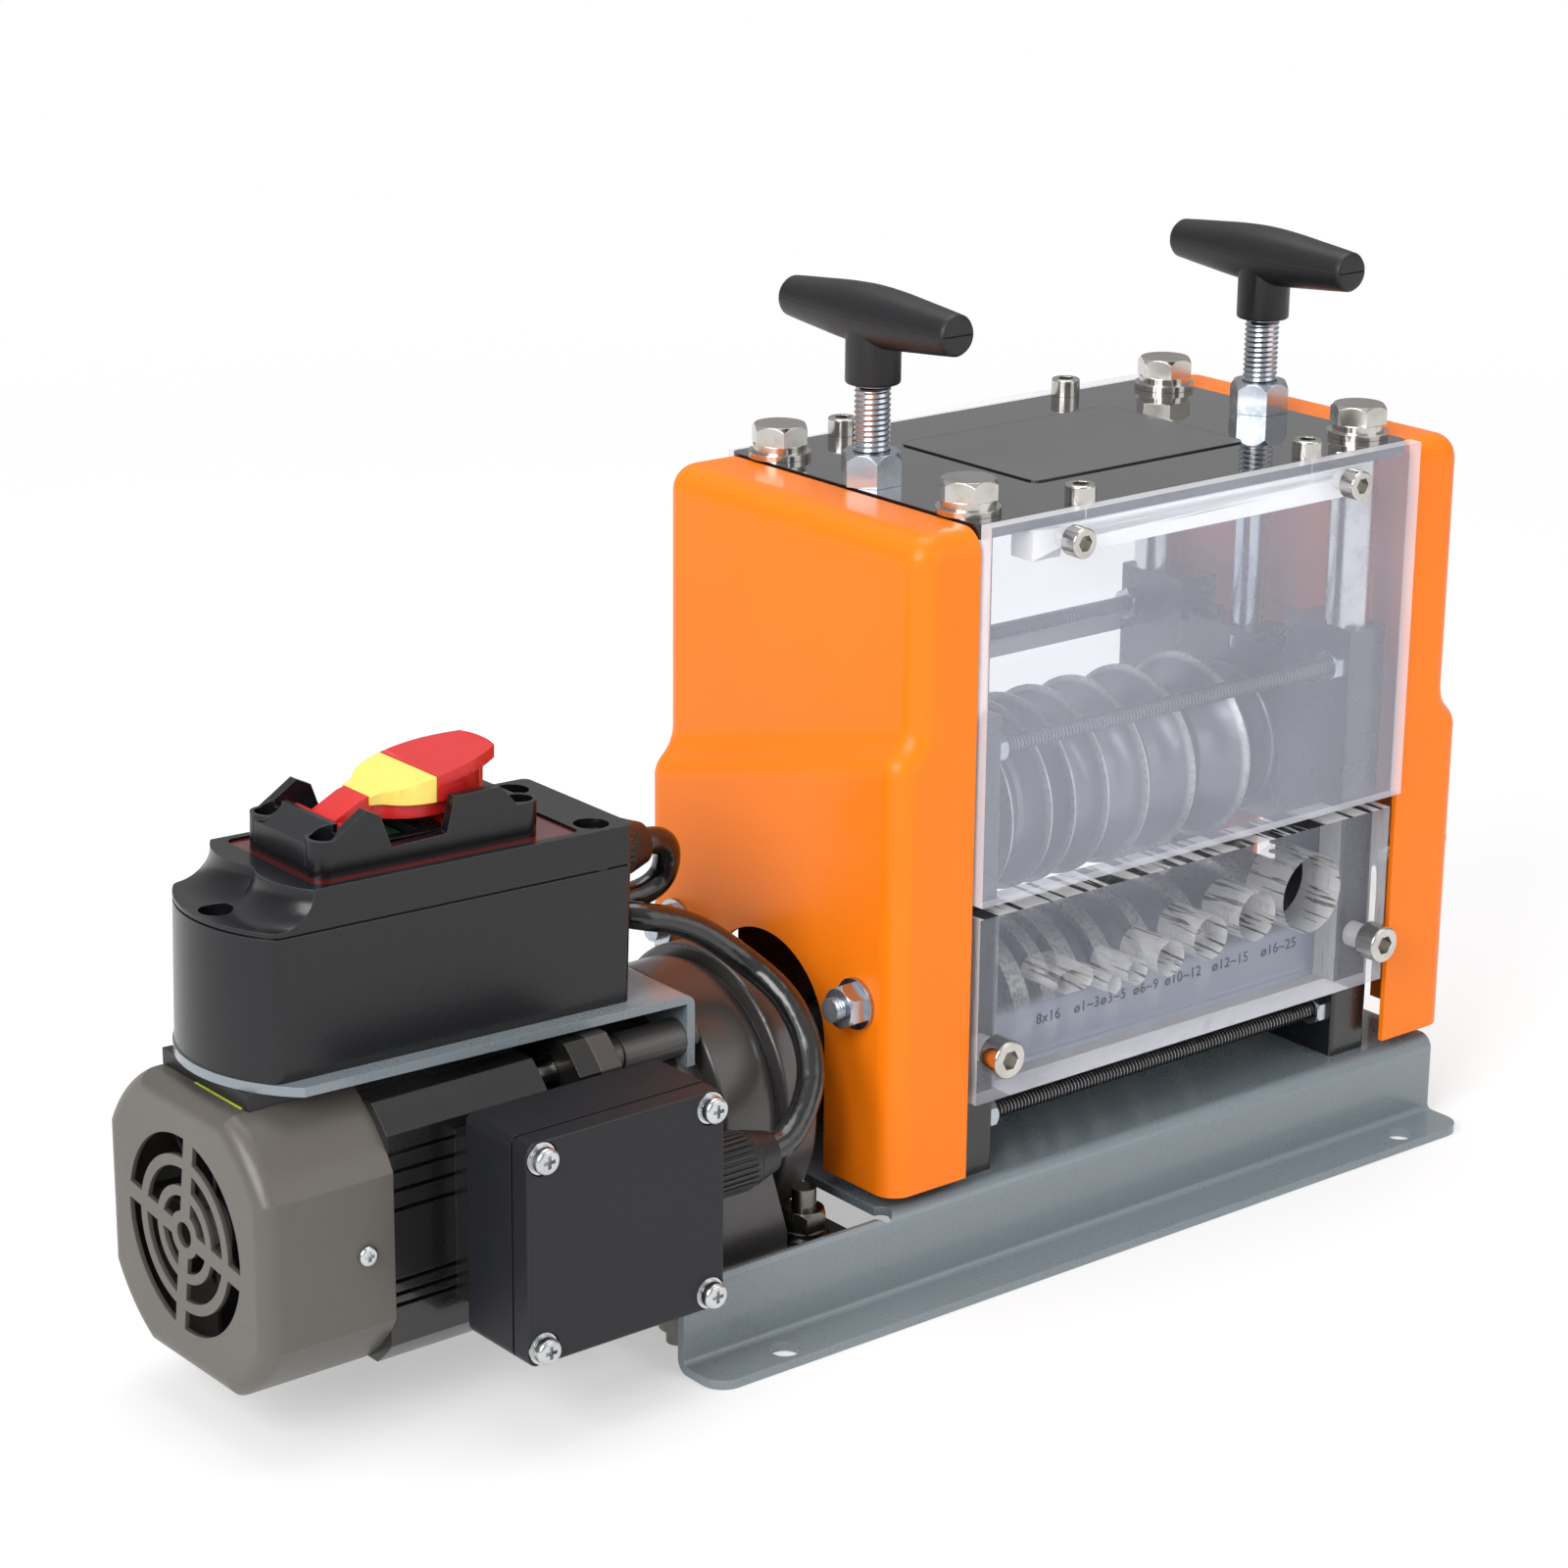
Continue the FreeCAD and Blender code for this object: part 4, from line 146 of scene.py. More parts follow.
class Graph:
    """One material's nodes, built round its Principled shader."""

    def __init__(self, name: str) -> None:
        """Make the material and its object coordinates."""
        self.material = bpy.data.materials.new(name)
        self.material.use_nodes = True
        self.tree = self.material.node_tree
        self.shader = self.tree.nodes["Principled BSDF"]
        coordinates = self.node("ShaderNodeTexCoord")
        self.place = coordinates.outputs["Object"]
        self.normal = coordinates.outputs["Normal"]

    def node(
        self, kind: str, settings: Optional[dict] = None, sockets: Optional[dict[str, Input]] = None
    ) -> bpy.types.Node:
        """Node of any kind.

        Args:
            kind: the node's type name.
            settings: its properties, which are set first.
            sockets: the values or links of its inputs, by name or place.

        Returns:
            The new node.
        """
        made = self.tree.nodes.new(kind)
        for key, value in (settings or {}).items():
            setattr(made, key, value)
        for key, value in (sockets or {}).items():
            self.put(made.inputs[key], value)
        return made

    def put(self, socket: bpy.types.NodeSocket, value: Input) -> None:
        """Link a socket, or set its own value."""
        if isinstance(value, Value):
            value = value.socket
        if isinstance(value, bpy.types.NodeSocket):
            self.tree.links.new(value, socket)
        elif socket.type == "RGBA" and len(value) == 3:
            socket.default_value = (*value, 1.0)
        else:
            socket.default_value = value

    def number(
        self, kind: str, settings: Optional[dict], sockets: dict, output: Union[str, int] = 0
    ) -> Value:
        """Number from a node's output."""
        return Value(self, self.node(kind, settings, sockets).outputs[output])

    def math(self, operation: str, *values: Union[Value, float]) -> Value:
        """Number from a Math node."""
        return self.number("ShaderNodeMath", {"operation": operation}, dict(enumerate(values)))

    def noise(self, size: float, detail: float = 2.0, place: Optional[Input] = None) -> Value:
        """Even noise from about 0 to 1 whose lumps have the given size in metres."""
        return self.number(
            "ShaderNodeTexNoise",
            None,
            {"Vector": place or self.place, "Scale": 1.0 / size, "Detail": detail, "Roughness": 0.55},
        )

    def cells(self, size: float) -> Value:
        """Distance to the nearest of many points spread at the given spacing."""
        return self.number("ShaderNodeTexVoronoi", None, {"Vector": self.place, "Scale": 1.0 / size}, "Distance")

    def stretched(self, axis: Axis, factor: float) -> bpy.types.NodeSocket:
        """Coordinates drawn out along an axis, for brushed and scraped marks."""
        scale = [1.0 / factor if part else 1.0 for part in axis.value]
        return self.node("ShaderNodeMapping", None, {"Vector": self.place, "Scale": scale}).outputs[0]

    def apart(self) -> tuple[Value, Value, Value]:
        """The three coordinates as numbers."""
        split = self.node("ShaderNodeSeparateXYZ", None, {"Vector": self.place})
        return tuple(Value(self, out) for out in split.outputs)

    def edge(self, radius: float) -> Value:
        """Mask that rises where the surface turns sharply within the radius."""
        soft = self.node("ShaderNodeBevel", {"samples": 4}, {"Radius": radius}).outputs[0]
        hard = self.node("ShaderNodeNewGeometry").outputs["Normal"]
        facing = self.number("ShaderNodeVectorMath", {"operation": "DOT_PRODUCT"}, {0: soft, 1: hard}, "Value")
        return (1.0 - facing).step(0.015, 0.16)

    def blend(self, share: Input, first: Input, second: Input) -> bpy.types.NodeSocket:
        """Colour between two colours."""
        mix = self.node("ShaderNodeMix", {"data_type": "RGBA"})
        self.put(mix.inputs[0], share)
        self.put(mix.inputs[6], first)
        self.put(mix.inputs[7], second)
        return mix.outputs[2]

    def relief(self, *layers: tuple[Value, float], round_edge: float = 0.0) -> bpy.types.NodeSocket:
        """Normal from layers of (height, depth in metres), over edges eased by a radius."""
        normal: Optional[Input] = None
        if round_edge:
            normal = self.node("ShaderNodeBevel", {"samples": 4}, {"Radius": round_edge}).outputs[0]
        for height, depth in layers:
            sockets = {"Height": height, "Distance": depth, "Strength": 1.0}
            if normal is not None:
                sockets["Normal"] = normal
            normal = self.node("ShaderNodeBump", None, sockets).outputs[0]
        return normal

    def finish(self, **sockets: Input) -> bpy.types.Material:
        """Set the shader's sockets, named with underscores, and give the material."""
        for key, value in sockets.items():
            self.put(self.shader.inputs[key.replace("_", " ")], value)
        return self.material


# finishes

@dataclass(frozen=True)
class Enamel:
    """Sprayed paint: even colour, fine orange peel, and paler spots along the edges, partly edge wear and partly a
    painted highlight.
    """

    name: str
    colour: Colour
    roughness: float = 0.3
    coat: float = 0.5
    peel: float = 0.00001
    peel_size: float = 0.0011
    drift: float = 0.08
    edge_colour: Optional[Colour] = None
    edge_share: float = 0.35
    metallic: float = 0.0
    specular: float = 0.5
    handling: float = 0.09

    def make(self) -> bpy.types.Material:
        """Build the material."""
        graph = Graph(self.name)
        cloud = graph.noise(0.05, 3.0)
        speck = graph.noise(0.0012, 1.0)
        dark = [part * (1.0 - self.drift) for part in self.colour]
        light = [min(1.0, part * (1.0 + self.drift)) for part in self.colour]
        colour: Input = graph.blend(cloud * 0.7 + speck * 0.3, dark, light)
        if self.edge_colour:
            # Paler colour in spots along the edges: partly edge wear and partly a painted highlight.
            worn = graph.edge(0.0007) * graph.noise(0.006, 4.0).step(0.36, 0.66) * self.edge_share
            colour = graph.blend(worn, colour, self.edge_colour)
        handled = graph.noise(0.028, 5.0).step(0.42, 0.72)
        rough = handled * self.handling + speck * 0.05 + (self.roughness - 0.07)
        normal = graph.relief(
            (graph.noise(self.peel_size, 2.0), self.peel * 6.0), (speck, self.peel), round_edge=0.0004
        )
        return graph.finish(
            Base_Color=colour, Roughness=rough, Metallic=self.metallic, Normal=normal,
            Coat_Weight=self.coat, Coat_Roughness=0.08, Specular_IOR_Level=self.specular,
        )


@dataclass(frozen=True)
class Metal:
    """Bare or plated metal with fine scratches along an axis, faint stains and a painted highlight along its edges.
    """

    name: str
    colour: Colour
    stain: Colour
    roughness: float = 0.25
    brushed: Optional[Axis] = None
    scratch: float = 0.000012
    stain_share: float = 0.5
    metallic: float = 1.0
    black_above: float = 0.0
    drawn: float = 18.0

    def make(self) -> bpy.types.Material:
        """Build the material, blackened above a height where one is given."""
        graph = Graph(self.name)
        place = graph.stretched(self.brushed, self.drawn) if self.brushed else graph.place
        lines = graph.noise(0.00035, 3.0, place)
        blot = graph.noise(0.009, 4.0).step(0.4, 0.75)
        colour = graph.blend(blot * self.stain_share, self.colour, self.stain)
        # Painted highlight: the edges are painted a quarter lighter.
        colour = graph.blend(graph.edge(0.0005) * 0.4, colour, [min(1.0, part * 1.25) for part in self.colour])
        if self.black_above:
            high = graph.apart()[2].step(self.black_above, self.black_above + 0.001)
            colour = graph.blend(high, colour, [part * 0.06 for part in self.colour])
        rough = lines * 0.14 + blot * 0.1 + (self.roughness - 0.09)
        normal = graph.relief((lines, self.scratch), round_edge=0.0003)
        return graph.finish(Base_Color=colour, Metallic=self.metallic, Roughness=rough, Normal=normal)


@dataclass(frozen=True)
class Turned:
    """Metal turned or ground round an axis along X, with ring marks and worn rims."""

    name: str
    colour: Colour
    rim: Colour
    axis_z: float
    radius: float
    rim_width: float = 0.0025
    roughness: float = 0.28
    grit: float = 0.1
    ring_depth: float = 0.00002

    def make(self) -> bpy.types.Material:
        """Build the material."""
        graph = Graph(self.name)
        along, across, up = graph.apart()
        up = up - self.axis_z
        reach = (across * across + up * up).math("SQRT")
        ringed = graph.node("ShaderNodeCombineXYZ", None, {"X": along, "Y": reach}).outputs[0]
        rings = graph.noise(0.0003, 3.0, ringed)
        bite = graph.noise(0.0016, 4.0).step(0.45, 0.6)
        worn = reach.step(self.radius - self.rim_width, self.radius - self.rim_width * 0.3)
        colour = graph.blend(worn, self.colour, self.rim)
        colour = graph.blend(bite * worn * 0.45, colour, [part * 0.45 for part in self.rim])
        smear = graph.noise(0.011, 3.0)
        rough = rings * 0.16 + bite * self.grit + smear * 0.1 + (self.roughness - 0.1)
        normal = graph.relief((rings, self.ring_depth), (bite, 0.00001), round_edge=0.0003)
        return graph.finish(Base_Color=colour, Metallic=0.95, Roughness=rough, Normal=normal)


@dataclass(frozen=True)
class Moulded:
    """Moulded plastic or rubber with a fine spark grain, handling marks and a painted highlight along its edges."""

    name: str
    colour: Colour
    roughness: float = 0.4
    grain: float = 0.00002
    grain_size: float = 0.0004
    scuff: float = 0.5
    edge_highlight: float = 0.25
    coat: float = 0.0
    glow: float = 0.0
    specular: float = 0.5

    def make(self) -> bpy.types.Material:
        """Build the material."""
        graph = Graph(self.name)
        spark = graph.noise(self.grain_size, 2.0)
        flow = graph.noise(0.03, 3.0)
        rub = graph.noise(0.009, 6.0).step(0.5, 0.72) * self.scuff
        pale = [min(1.0, part * 1.5 + 0.01) for part in self.colour]
        colour = graph.blend(flow * 0.4, self.colour, [part * 0.8 for part in self.colour])
        colour = graph.blend(rub * 0.18, colour, pale)
        # Painted highlight: the edges are painted lighter than the body colour.
        rim = [min(1.0, part * 1.6 + 0.05) for part in self.colour]
        colour = graph.blend(graph.edge(0.0006) * self.edge_highlight, colour, rim)
        rough = spark * 0.12 + rub * 0.12 + (self.roughness - 0.08)
        normal = graph.relief((spark, self.grain), round_edge=0.0004)
        return graph.finish(
            Base_Color=colour, Roughness=rough, Normal=normal, Coat_Weight=self.coat,
            Coat_Roughness=0.15, Subsurface_Weight=self.glow, Subsurface_Scale=0.004,
            Specular_IOR_Level=self.specular,
        )


@dataclass(frozen=True)
class Cast:
    """Metallic lacquer over a casting: fine flake, sand texture, darker clouds and a painted highlight along its
    edges.
    """

    name: str
    colour: Colour
    roughness: float = 0.38
    metallic: float = 0.55
    sand: float = 0.00004
    sand_size: float = 0.0012

    def make(self) -> bpy.types.Material:
        """Build the material."""
        graph = Graph(self.name)
        flake = graph.cells(0.0005).step(0.1, 0.75)
        sand = graph.noise(self.sand_size, 3.0)
        cloud = graph.noise(0.04, 4.0)
        dull = [part * 0.78 for part in self.colour]
        colour = graph.blend(cloud * 0.6 + flake * 0.3, self.colour, dull)
        # Painted highlight: the edges are painted lighter.
        colour = graph.blend(graph.edge(0.0008) * 0.35, colour, [min(1.0, part * 1.6) for part in self.colour])
        rough = flake * 0.1 + cloud * 0.12 + (self.roughness - 0.1)
        normal = graph.relief((sand, self.sand), round_edge=0.0006)
        return graph.finish(
            Base_Color=colour, Metallic=self.metallic, Roughness=rough, Normal=normal,
            Coat_Weight=0.25, Coat_Roughness=0.2,
        )


@dataclass(frozen=True)
class Mirror:
    """Black polished plate that mirrors what stands on it."""

    name: str
    colour: Colour = (0.01, 0.01, 0.011)

    def make(self) -> bpy.types.Material:
        """Build the material."""
        graph = Graph(self.name)
        swirl = graph.noise(0.02, 5.0).step(0.45, 0.8)
        dust = graph.noise(0.0006, 2.0).step(0.7, 0.78)
        colour = graph.blend(dust * 0.2, self.colour, [0.2, 0.2, 0.2])
        rough = swirl * 0.02 + dust * 0.1 + 0.012
        normal = graph.relief((swirl, 0.000002), round_edge=0.0004)
        return graph.finish(
            Base_Color=colour, Roughness=rough, Normal=normal, Specular_IOR_Level=0.25, Coat_Weight=1.0,
            Coat_Roughness=0.008, Coat_IOR=1.5,
        )


@dataclass(frozen=True)
class Bordered:
    """Bare metal sheet with a fine dark line round its rim."""

    name: str
    colour: Colour
    middle: tuple[float, float]
    half: tuple[float, float]
    line: float = 0.0006
    roughness: float = 0.3

    def make(self) -> bpy.types.Material:
        """Build the material."""
        graph = Graph(self.name)
        along, across, _ = graph.apart()
        near = (along - self.middle[0]).math("ABSOLUTE") - self.half[0]
        side = (across - self.middle[1]).math("ABSOLUTE") - self.half[1]
        rim = near.math("MAXIMUM", side).step(-self.line, -self.line * 0.6)
        grain = graph.noise(0.0004, 2.0)
        cloud = graph.noise(0.03, 3.0)
        colour = graph.blend(cloud * 0.5 + grain * 0.2, self.colour, [part * 0.86 for part in self.colour])
        colour = graph.blend(rim, colour, (0.012, 0.012, 0.012))
        rough = grain * 0.08 + cloud * 0.06 + (self.roughness - 0.07)
        normal = graph.relief((grain, 0.000006), round_edge=0.0002)
        return graph.finish(Base_Color=colour, Roughness=rough, Normal=normal, Metallic=0.35, Coat_Weight=0.3)


@dataclass(frozen=True)
class Veil:
    """Clear sheet seen as a cool grey veil, hazier where it is rubbed, with a faint painted glow in its own colour
    that stands for a reflection, edge faces painted white, partly a frosted cut and partly a painted highlight, and a
    painted shade below a height where one is given.
    """

    name: str
    colour: Colour
    cover: float
    painted_sheen: float = 0.35
    roughness: float = 0.05
    painted_shade: float = 0.0
    painted_shade_top: float = 0.084
    painted_shade_fade: float = 0.007

    def make(self) -> bpy.types.Material:
        """Build the material."""
        graph = Graph(self.name)
        wipe = graph.noise(0.05, 3.0, graph.stretched(Axis.Z, 2.0)).step(0.3, 0.75)
        speck = graph.noise(0.0007, 2.0).step(0.73, 0.78)
        split = graph.node("ShaderNodeSeparateXYZ", None, {"Vector": graph.normal})
        # Edge faces, which do not face along Y, are painted white, clouded and roughened: partly a frosted cut and
        # partly a painted highlight.
        cut = (1.0 - Value(graph, split.outputs[1]).math("ABSOLUTE")).step(0.4, 0.8)
        alpha = wipe * 0.03 + speck * 0.1 + cut * 0.3 + self.cover
        # Painted shade: below the given height the sheet turns into a grey veil that hides the lower half of what
        # lies behind it.
        if self.painted_shade:
            above = graph.apart()[2].step(self.painted_shade_top - self.painted_shade_fade, self.painted_shade_top)
            alpha = alpha + (1.0 - above) * self.painted_shade
        colour = graph.blend(cut * 0.9 + speck * 0.3, self.colour, [0.96, 0.93, 0.95])
        rough = wipe * 0.03 + speck * 0.2 + cut * 0.25 + self.roughness
        graph.material.surface_render_method = "BLENDED"
        # The emission is painted reflection: the sheet glows faintly in its own colour.
        return graph.finish(
            Base_Color=colour, Alpha=alpha, Roughness=rough, IOR=1.49, Specular_IOR_Level=0.5,
            Coat_Weight=0.4, Coat_Roughness=0.02, Emission_Color=self.colour, Emission_Strength=self.painted_sheen,
            Normal=graph.relief((wipe, 0.000004)),
        )


@dataclass(frozen=True)
class Streaked:
    """Cut face of a clear block: bright streaks and dark gaps drawn out along an axis, partly cut marks and partly
    painted reflection.
    """

    name: str
    axis: Axis
    light: Colour
    dark: Colour
    size: float = 0.0012
    share: tuple[float, float] = (0.45, 0.62)
    cover: float = 0.75
    metallic: float = 0.6
    slant: float = 0.0
    drawn: float = 14.0

    def make(self) -> bpy.types.Material:
        """Build the material."""
        graph = Graph(self.name)
        turn = graph.node("ShaderNodeMapping", None, {"Vector": graph.place, "Rotation": (0.0, 0.0, self.slant)})
        scale = [1.0 / self.drawn if part else 1.0 for part in self.axis.value]
        place = graph.node("ShaderNodeMapping", None, {"Vector": turn.outputs[0], "Scale": scale}).outputs[0]
        band = graph.noise(self.size, 3.0, place)
        fine = graph.noise(self.size * 0.25, 2.0, place)
        gap = band.step(*self.share)
        colour = graph.blend(gap, self.light, self.dark)
        rough = fine * 0.2 + 0.12
        alpha = gap * 0.2 + fine * 0.1 + (self.cover - 0.05)
        normal = graph.relief((band, 0.0004), (fine, 0.00005))
        graph.material.surface_render_method = "BLENDED"
        return graph.finish(Base_Color=colour, Alpha=alpha, Roughness=rough, Metallic=self.metallic, Normal=normal)


@dataclass(frozen=True)
class Sleeve:
    """Shrunk cable sleeve with wrinkles across its length."""

    name: str
    colour: Colour

    def make(self) -> bpy.types.Material:
        """Build the material."""
        graph = Graph(self.name)
        lumps = graph.noise(0.009, 2.0)
        creases = graph.noise(0.0026, 3.0)
        rough = creases * 0.14 + 0.16
        colour = graph.blend(lumps.step(0.4, 0.7), self.colour, [part * 1.6 for part in self.colour])
        normal = graph.relief((lumps, 0.0009), (creases, 0.0001))
        return graph.finish(Base_Color=colour, Roughness=rough, Normal=normal, Coat_Weight=0.5, Coat_Roughness=0.12)


# modelling

Pick = Callable[[Vector, Vector], bool]


class Workpiece:
    """One mesh, shaped with the editor's own tools, with its place in its vertices."""

    def __init__(self, obj: bpy.types.Object, name: str) -> None:
        """Take over an object and settle its place into its mesh."""
        self.obj = obj
        obj.name = name
        obj.data.name = name
        self._alone()
        bpy.ops.object.transform_apply(location=True, rotation=True, scale=True)

    @staticmethod
    def clear() -> None:
        """Deselect everything, in object mode."""
        if bpy.context.object and bpy.context.object.mode != "OBJECT":
            bpy.ops.object.mode_set(mode="OBJECT")
        bpy.ops.object.select_all(action="DESELECT")

    def _alone(self) -> None:
        """Select this object only and make it the active one."""
        self.clear()
        self.obj.select_set(True)
        bpy.context.view_layer.objects.active = self.obj

    @classmethod
    def block(cls, name: str, low: Vector, high: Vector) -> "Workpiece":
        """Box between two corners."""
        cls.clear()
        bpy.ops.mesh.primitive_cube_add(size=1.0, location=(low + high) / 2)
        bpy.context.object.scale = high - low
        return cls(bpy.context.object, name)

    @classmethod
    def rod(
        cls, name: str, radius: float, start: Vector, end: Vector, sides: int = 48, tip: Optional[float] = None
    ) -> "Workpiece":
        """Round bar, or a cone where the far end has its own radius."""
        cls.clear()
        bpy.ops.mesh.primitive_cone_add(
            vertices=sides, radius1=radius, radius2=radius if tip is None else tip,
            depth=(end - start).length, location=(start + end) / 2,
            rotation=(end - start).to_track_quat("Z", "Y").to_euler(),
        )
        return cls(bpy.context.object, name)

    @classmethod
    def outline(cls, name: str, points: Sequence[Vector], push: Vector) -> "Workpiece":
        """Flat outline pushed along a vector into a solid.

        Args:
            name: the piece's name.
            points: the outline's corners in order.
            push: the way and length of the extrusion.

        Returns:
            The solid.
        """
        cls.clear()
        bpy.ops.mesh.primitive_circle_add(vertices=len(points), radius=1.0, fill_type="NGON")
        obj = bpy.context.object
        for vertex, point in zip(obj.data.vertices, points):
            vertex.co = point
        piece = cls(obj, name)
        piece.edit(lambda: bpy.ops.mesh.extrude_region_move(TRANSFORM_OT_translate={"value": push}))
        return piece.outward()

    @classmethod
    def spun(
        cls, name: str, profile: Sequence[tuple[float, float]], centre: Vector, axis: Axis, steps: int = 96
    ) -> "Workpiece":
        """Solid of revolution.

        Args:
            name: the piece's name.
            profile: points as (distance along the axis, radius), first and last on one line.
            centre: a point on the axis, from which distances count.
            axis: the axis.
            steps: the number of segments round.

        Returns:
            The solid, with its seam closed.
        """
        cls.clear()
        side = Vector((0.0, 0.0, 1.0)) if axis is not Axis.Z else Vector((1.0, 0.0, 0.0))
        bpy.ops.mesh.primitive_circle_add(vertices=len(profile), radius=1.0, fill_type="NOTHING")
        obj = bpy.context.object
        for vertex, (along, reach) in zip(obj.data.vertices, profile):
            vertex.co = centre + axis.value * along + side * reach
        piece = cls(obj, name)
        piece.edit(lambda: bpy.ops.mesh.spin(
            steps=steps, angle=math.tau, center=centre, axis=axis.value
        ))
        piece.edit(lambda: bpy.ops.mesh.remove_doubles(threshold=0.02 * MM))
        return piece.outward()

    def edit(self, work: Callable[[], object], pick: Optional[Pick] = None, kind: str = "FACE") -> "Workpiece":
        """Run an operator in edit mode.

        Args:
            work: calls the operator.
            pick: takes an element's middle and its normal or direction, and says whether it is selected.
            kind: FACE, EDGE or VERT. Everything is selected where pick is left out.

        Returns:
            This piece.
        """
        self._alone()
        bpy.ops.object.mode_set(mode="EDIT")
        bpy.ops.mesh.select_mode(type=kind)
        bpy.ops.mesh.select_all(action="SELECT" if pick is None else "DESELECT")
        if pick is not None:
            mesh = bmesh.from_edit_mesh(self.obj.data)
            for element in {"FACE": mesh.faces, "EDGE": mesh.edges, "VERT": mesh.verts}[kind]:
                if kind == "FACE":
                    element.select_set(pick(element.calc_center_median(), element.normal))
                elif kind == "EDGE":
                    ends = [vertex.co for vertex in element.verts]
                    run = (ends[1] - ends[0]).normalized()
                    element.select_set(pick((ends[0] + ends[1]) / 2, run))
                else:
                    element.select_set(pick(element.co, element.normal))
            mesh.select_flush_mode()
            bmesh.update_edit_mesh(self.obj.data)
        work()
        bpy.ops.object.mode_set(mode="OBJECT")
        return self

    def outward(self) -> "Workpiece":
        """Turn all faces outwards."""
        return self.edit(lambda: bpy.ops.mesh.normals_make_consistent(inside=False))

    def modify(self, kind: str, **settings: object) -> "Workpiece":
        """Add a modifier with its settings and apply it."""
        self._alone()
        modifier = self.obj.modifiers.new(kind.title(), kind)
        for key, value in settings.items():
            setattr(modifier, key, value)
        bpy.ops.object.modifier_apply(modifier=modifier.name)
        return self

    def ease(self, width: float, segments: int = 2, angle: float = 35.0) -> "Workpiece":
        """Ease every edge sharper than the angle, as a tumbled or painted part has it."""
        return self.modify(
            "BEVEL", width=width, segments=segments, limit_method="ANGLE", angle_limit=math.radians(angle),
            harden_normals=False, use_clamp_overlap=True, miter_outer="MITER_ARC",
        )

    @classmethod
    def thread(
        cls, name: str, radius: float, depth: float, pitch: float, turns: int, start: Vector, axis: Axis
    ) -> "Workpiece":
        """Screw thread wound as one helix, with both ends closed.

        Args:
            name: the piece's name.
            radius: the radius over the crests.
            depth: the depth of the groove.
            pitch: the rise of one turn.
            turns: the number of turns.
            start: the middle of the lower end.
            axis: the way in which it rises.

        Returns:
            The threaded length.
        """
        shape = ((0.0, radius - depth), (0.12, radius - depth), (0.5, radius), (0.62, radius))
        rows = [(turn + rise, reach) for turn in range(turns) for rise, reach in shape]
        rows.append((float(turns), radius - depth))
        cls.clear()
        bpy.ops.mesh.primitive_circle_add(vertices=len(rows), radius=1.0, fill_type="NOTHING")
        obj = bpy.context.object
        for vertex, (rise, reach) in zip(obj.data.vertices, rows):
            vertex.co = Vector((reach, 0.0, rise * pitch))
        piece = cls(obj, name)
        top = turns * pitch
        piece.edit(
            lambda: bpy.ops.mesh.delete(type="EDGE"), lambda middle, run: abs(middle.z - top / 2) < pitch * 0.02
            and abs(run.z) > 0.9999, "EDGE",
        )
        piece.modify(
            "SCREW", axis="Z", angle=math.tau, screw_offset=pitch, iterations=1, steps=28, render_steps=28,
            use_merge_vertices=True, merge_threshold=0.001 * MM, use_smooth_shade=True,
        )
        piece.edit(lambda: bpy.ops.mesh.remove_doubles(threshold=0.002 * MM))
        piece.edit(lambda: bpy.ops.mesh.fill_holes(sides=0))
        piece.outward()
        return piece.moved(Matrix.Translation(start) @ axis.value.to_track_quat("Z", "Y").to_matrix().to_4x4())

    @classmethod
    def taken(cls, name: str, node: bpy.types.Object) -> "Workpiece":
        """Merged copy of a node of the construction, ready to be shaped."""
        twin = node.copy()
        twin.data = node.data.copy()
        twin.parent = None
        twin.matrix_world = node.matrix_world
        bpy.context.collection.objects.link(twin)
        for key in list(twin.keys()):
            del twin[key]
        piece = cls(twin, name)
        piece.edit(lambda: bpy.ops.mesh.remove_doubles(threshold=0.001 * MM))
        return piece.edit(lambda: bpy.ops.mesh.dissolve_limited(angle_limit=math.radians(0.4)))

    @classmethod
    def lettered(cls, name: str, words: str, height: float, place: Vector, turn: Matrix, thick: float) -> "Workpiece":
        """Raised lettering, made a mesh.

        Args:
            name: the piece's name.
            words: what it reads.
            height: the height of its capitals.
            place: the middle of the words.
            turn: the way in which they face.
            thick: how far they stand out.

        Returns:
            The lettering.
        """
        cls.clear()
        curve = bpy.data.curves.new(name, "FONT")
        curve.body = words
        curve.size = height * 1.38
        curve.align_x = "CENTER"
        curve.align_y = "CENTER"
        curve.extrude = thick / 2
        curve.space_character = 1.08
        obj = bpy.data.objects.new(name, curve)
        bpy.context.collection.objects.link(obj)
        obj.select_set(True)
        bpy.context.view_layer.objects.active = obj
        bpy.ops.object.convert(target="MESH")
        piece = cls(bpy.context.object, name)
        piece.edit(lambda: bpy.ops.mesh.remove_doubles(threshold=0.001 * MM))
        return piece.outward().moved(Matrix.Translation(place) @ turn)

    def moved(self, pose: Matrix) -> "Workpiece":
        """Move the mesh by a matrix."""
        self.obj.matrix_world = pose
        self._alone()
        bpy.ops.object.transform_apply(location=True, rotation=True, scale=True)
        return self

    def _with(self, other: "Workpiece", operation: str) -> "Workpiece":
        """Boolean with another piece, which is used up."""
        self.modify("BOOLEAN", operation=operation, solver="EXACT", object=other.obj)
        mesh = other.obj.data
        bpy.data.objects.remove(other.obj)
        bpy.data.meshes.remove(mesh)
        return self

    def cut(self, *tools: "Workpiece") -> "Workpiece":
        """Take other pieces away from this one."""
        for tool in tools:
            self._with(tool, "DIFFERENCE")
        return self

    def fuse(self, *others: "Workpiece") -> "Workpiece":
        """Weld other pieces to this one."""
        for other in others:
            self._with(other, "UNION")
        return self

    def keep(self, other: "Workpiece") -> "Workpiece":
        """Keep what lies inside another piece."""
        return self._with(other, "INTERSECT")

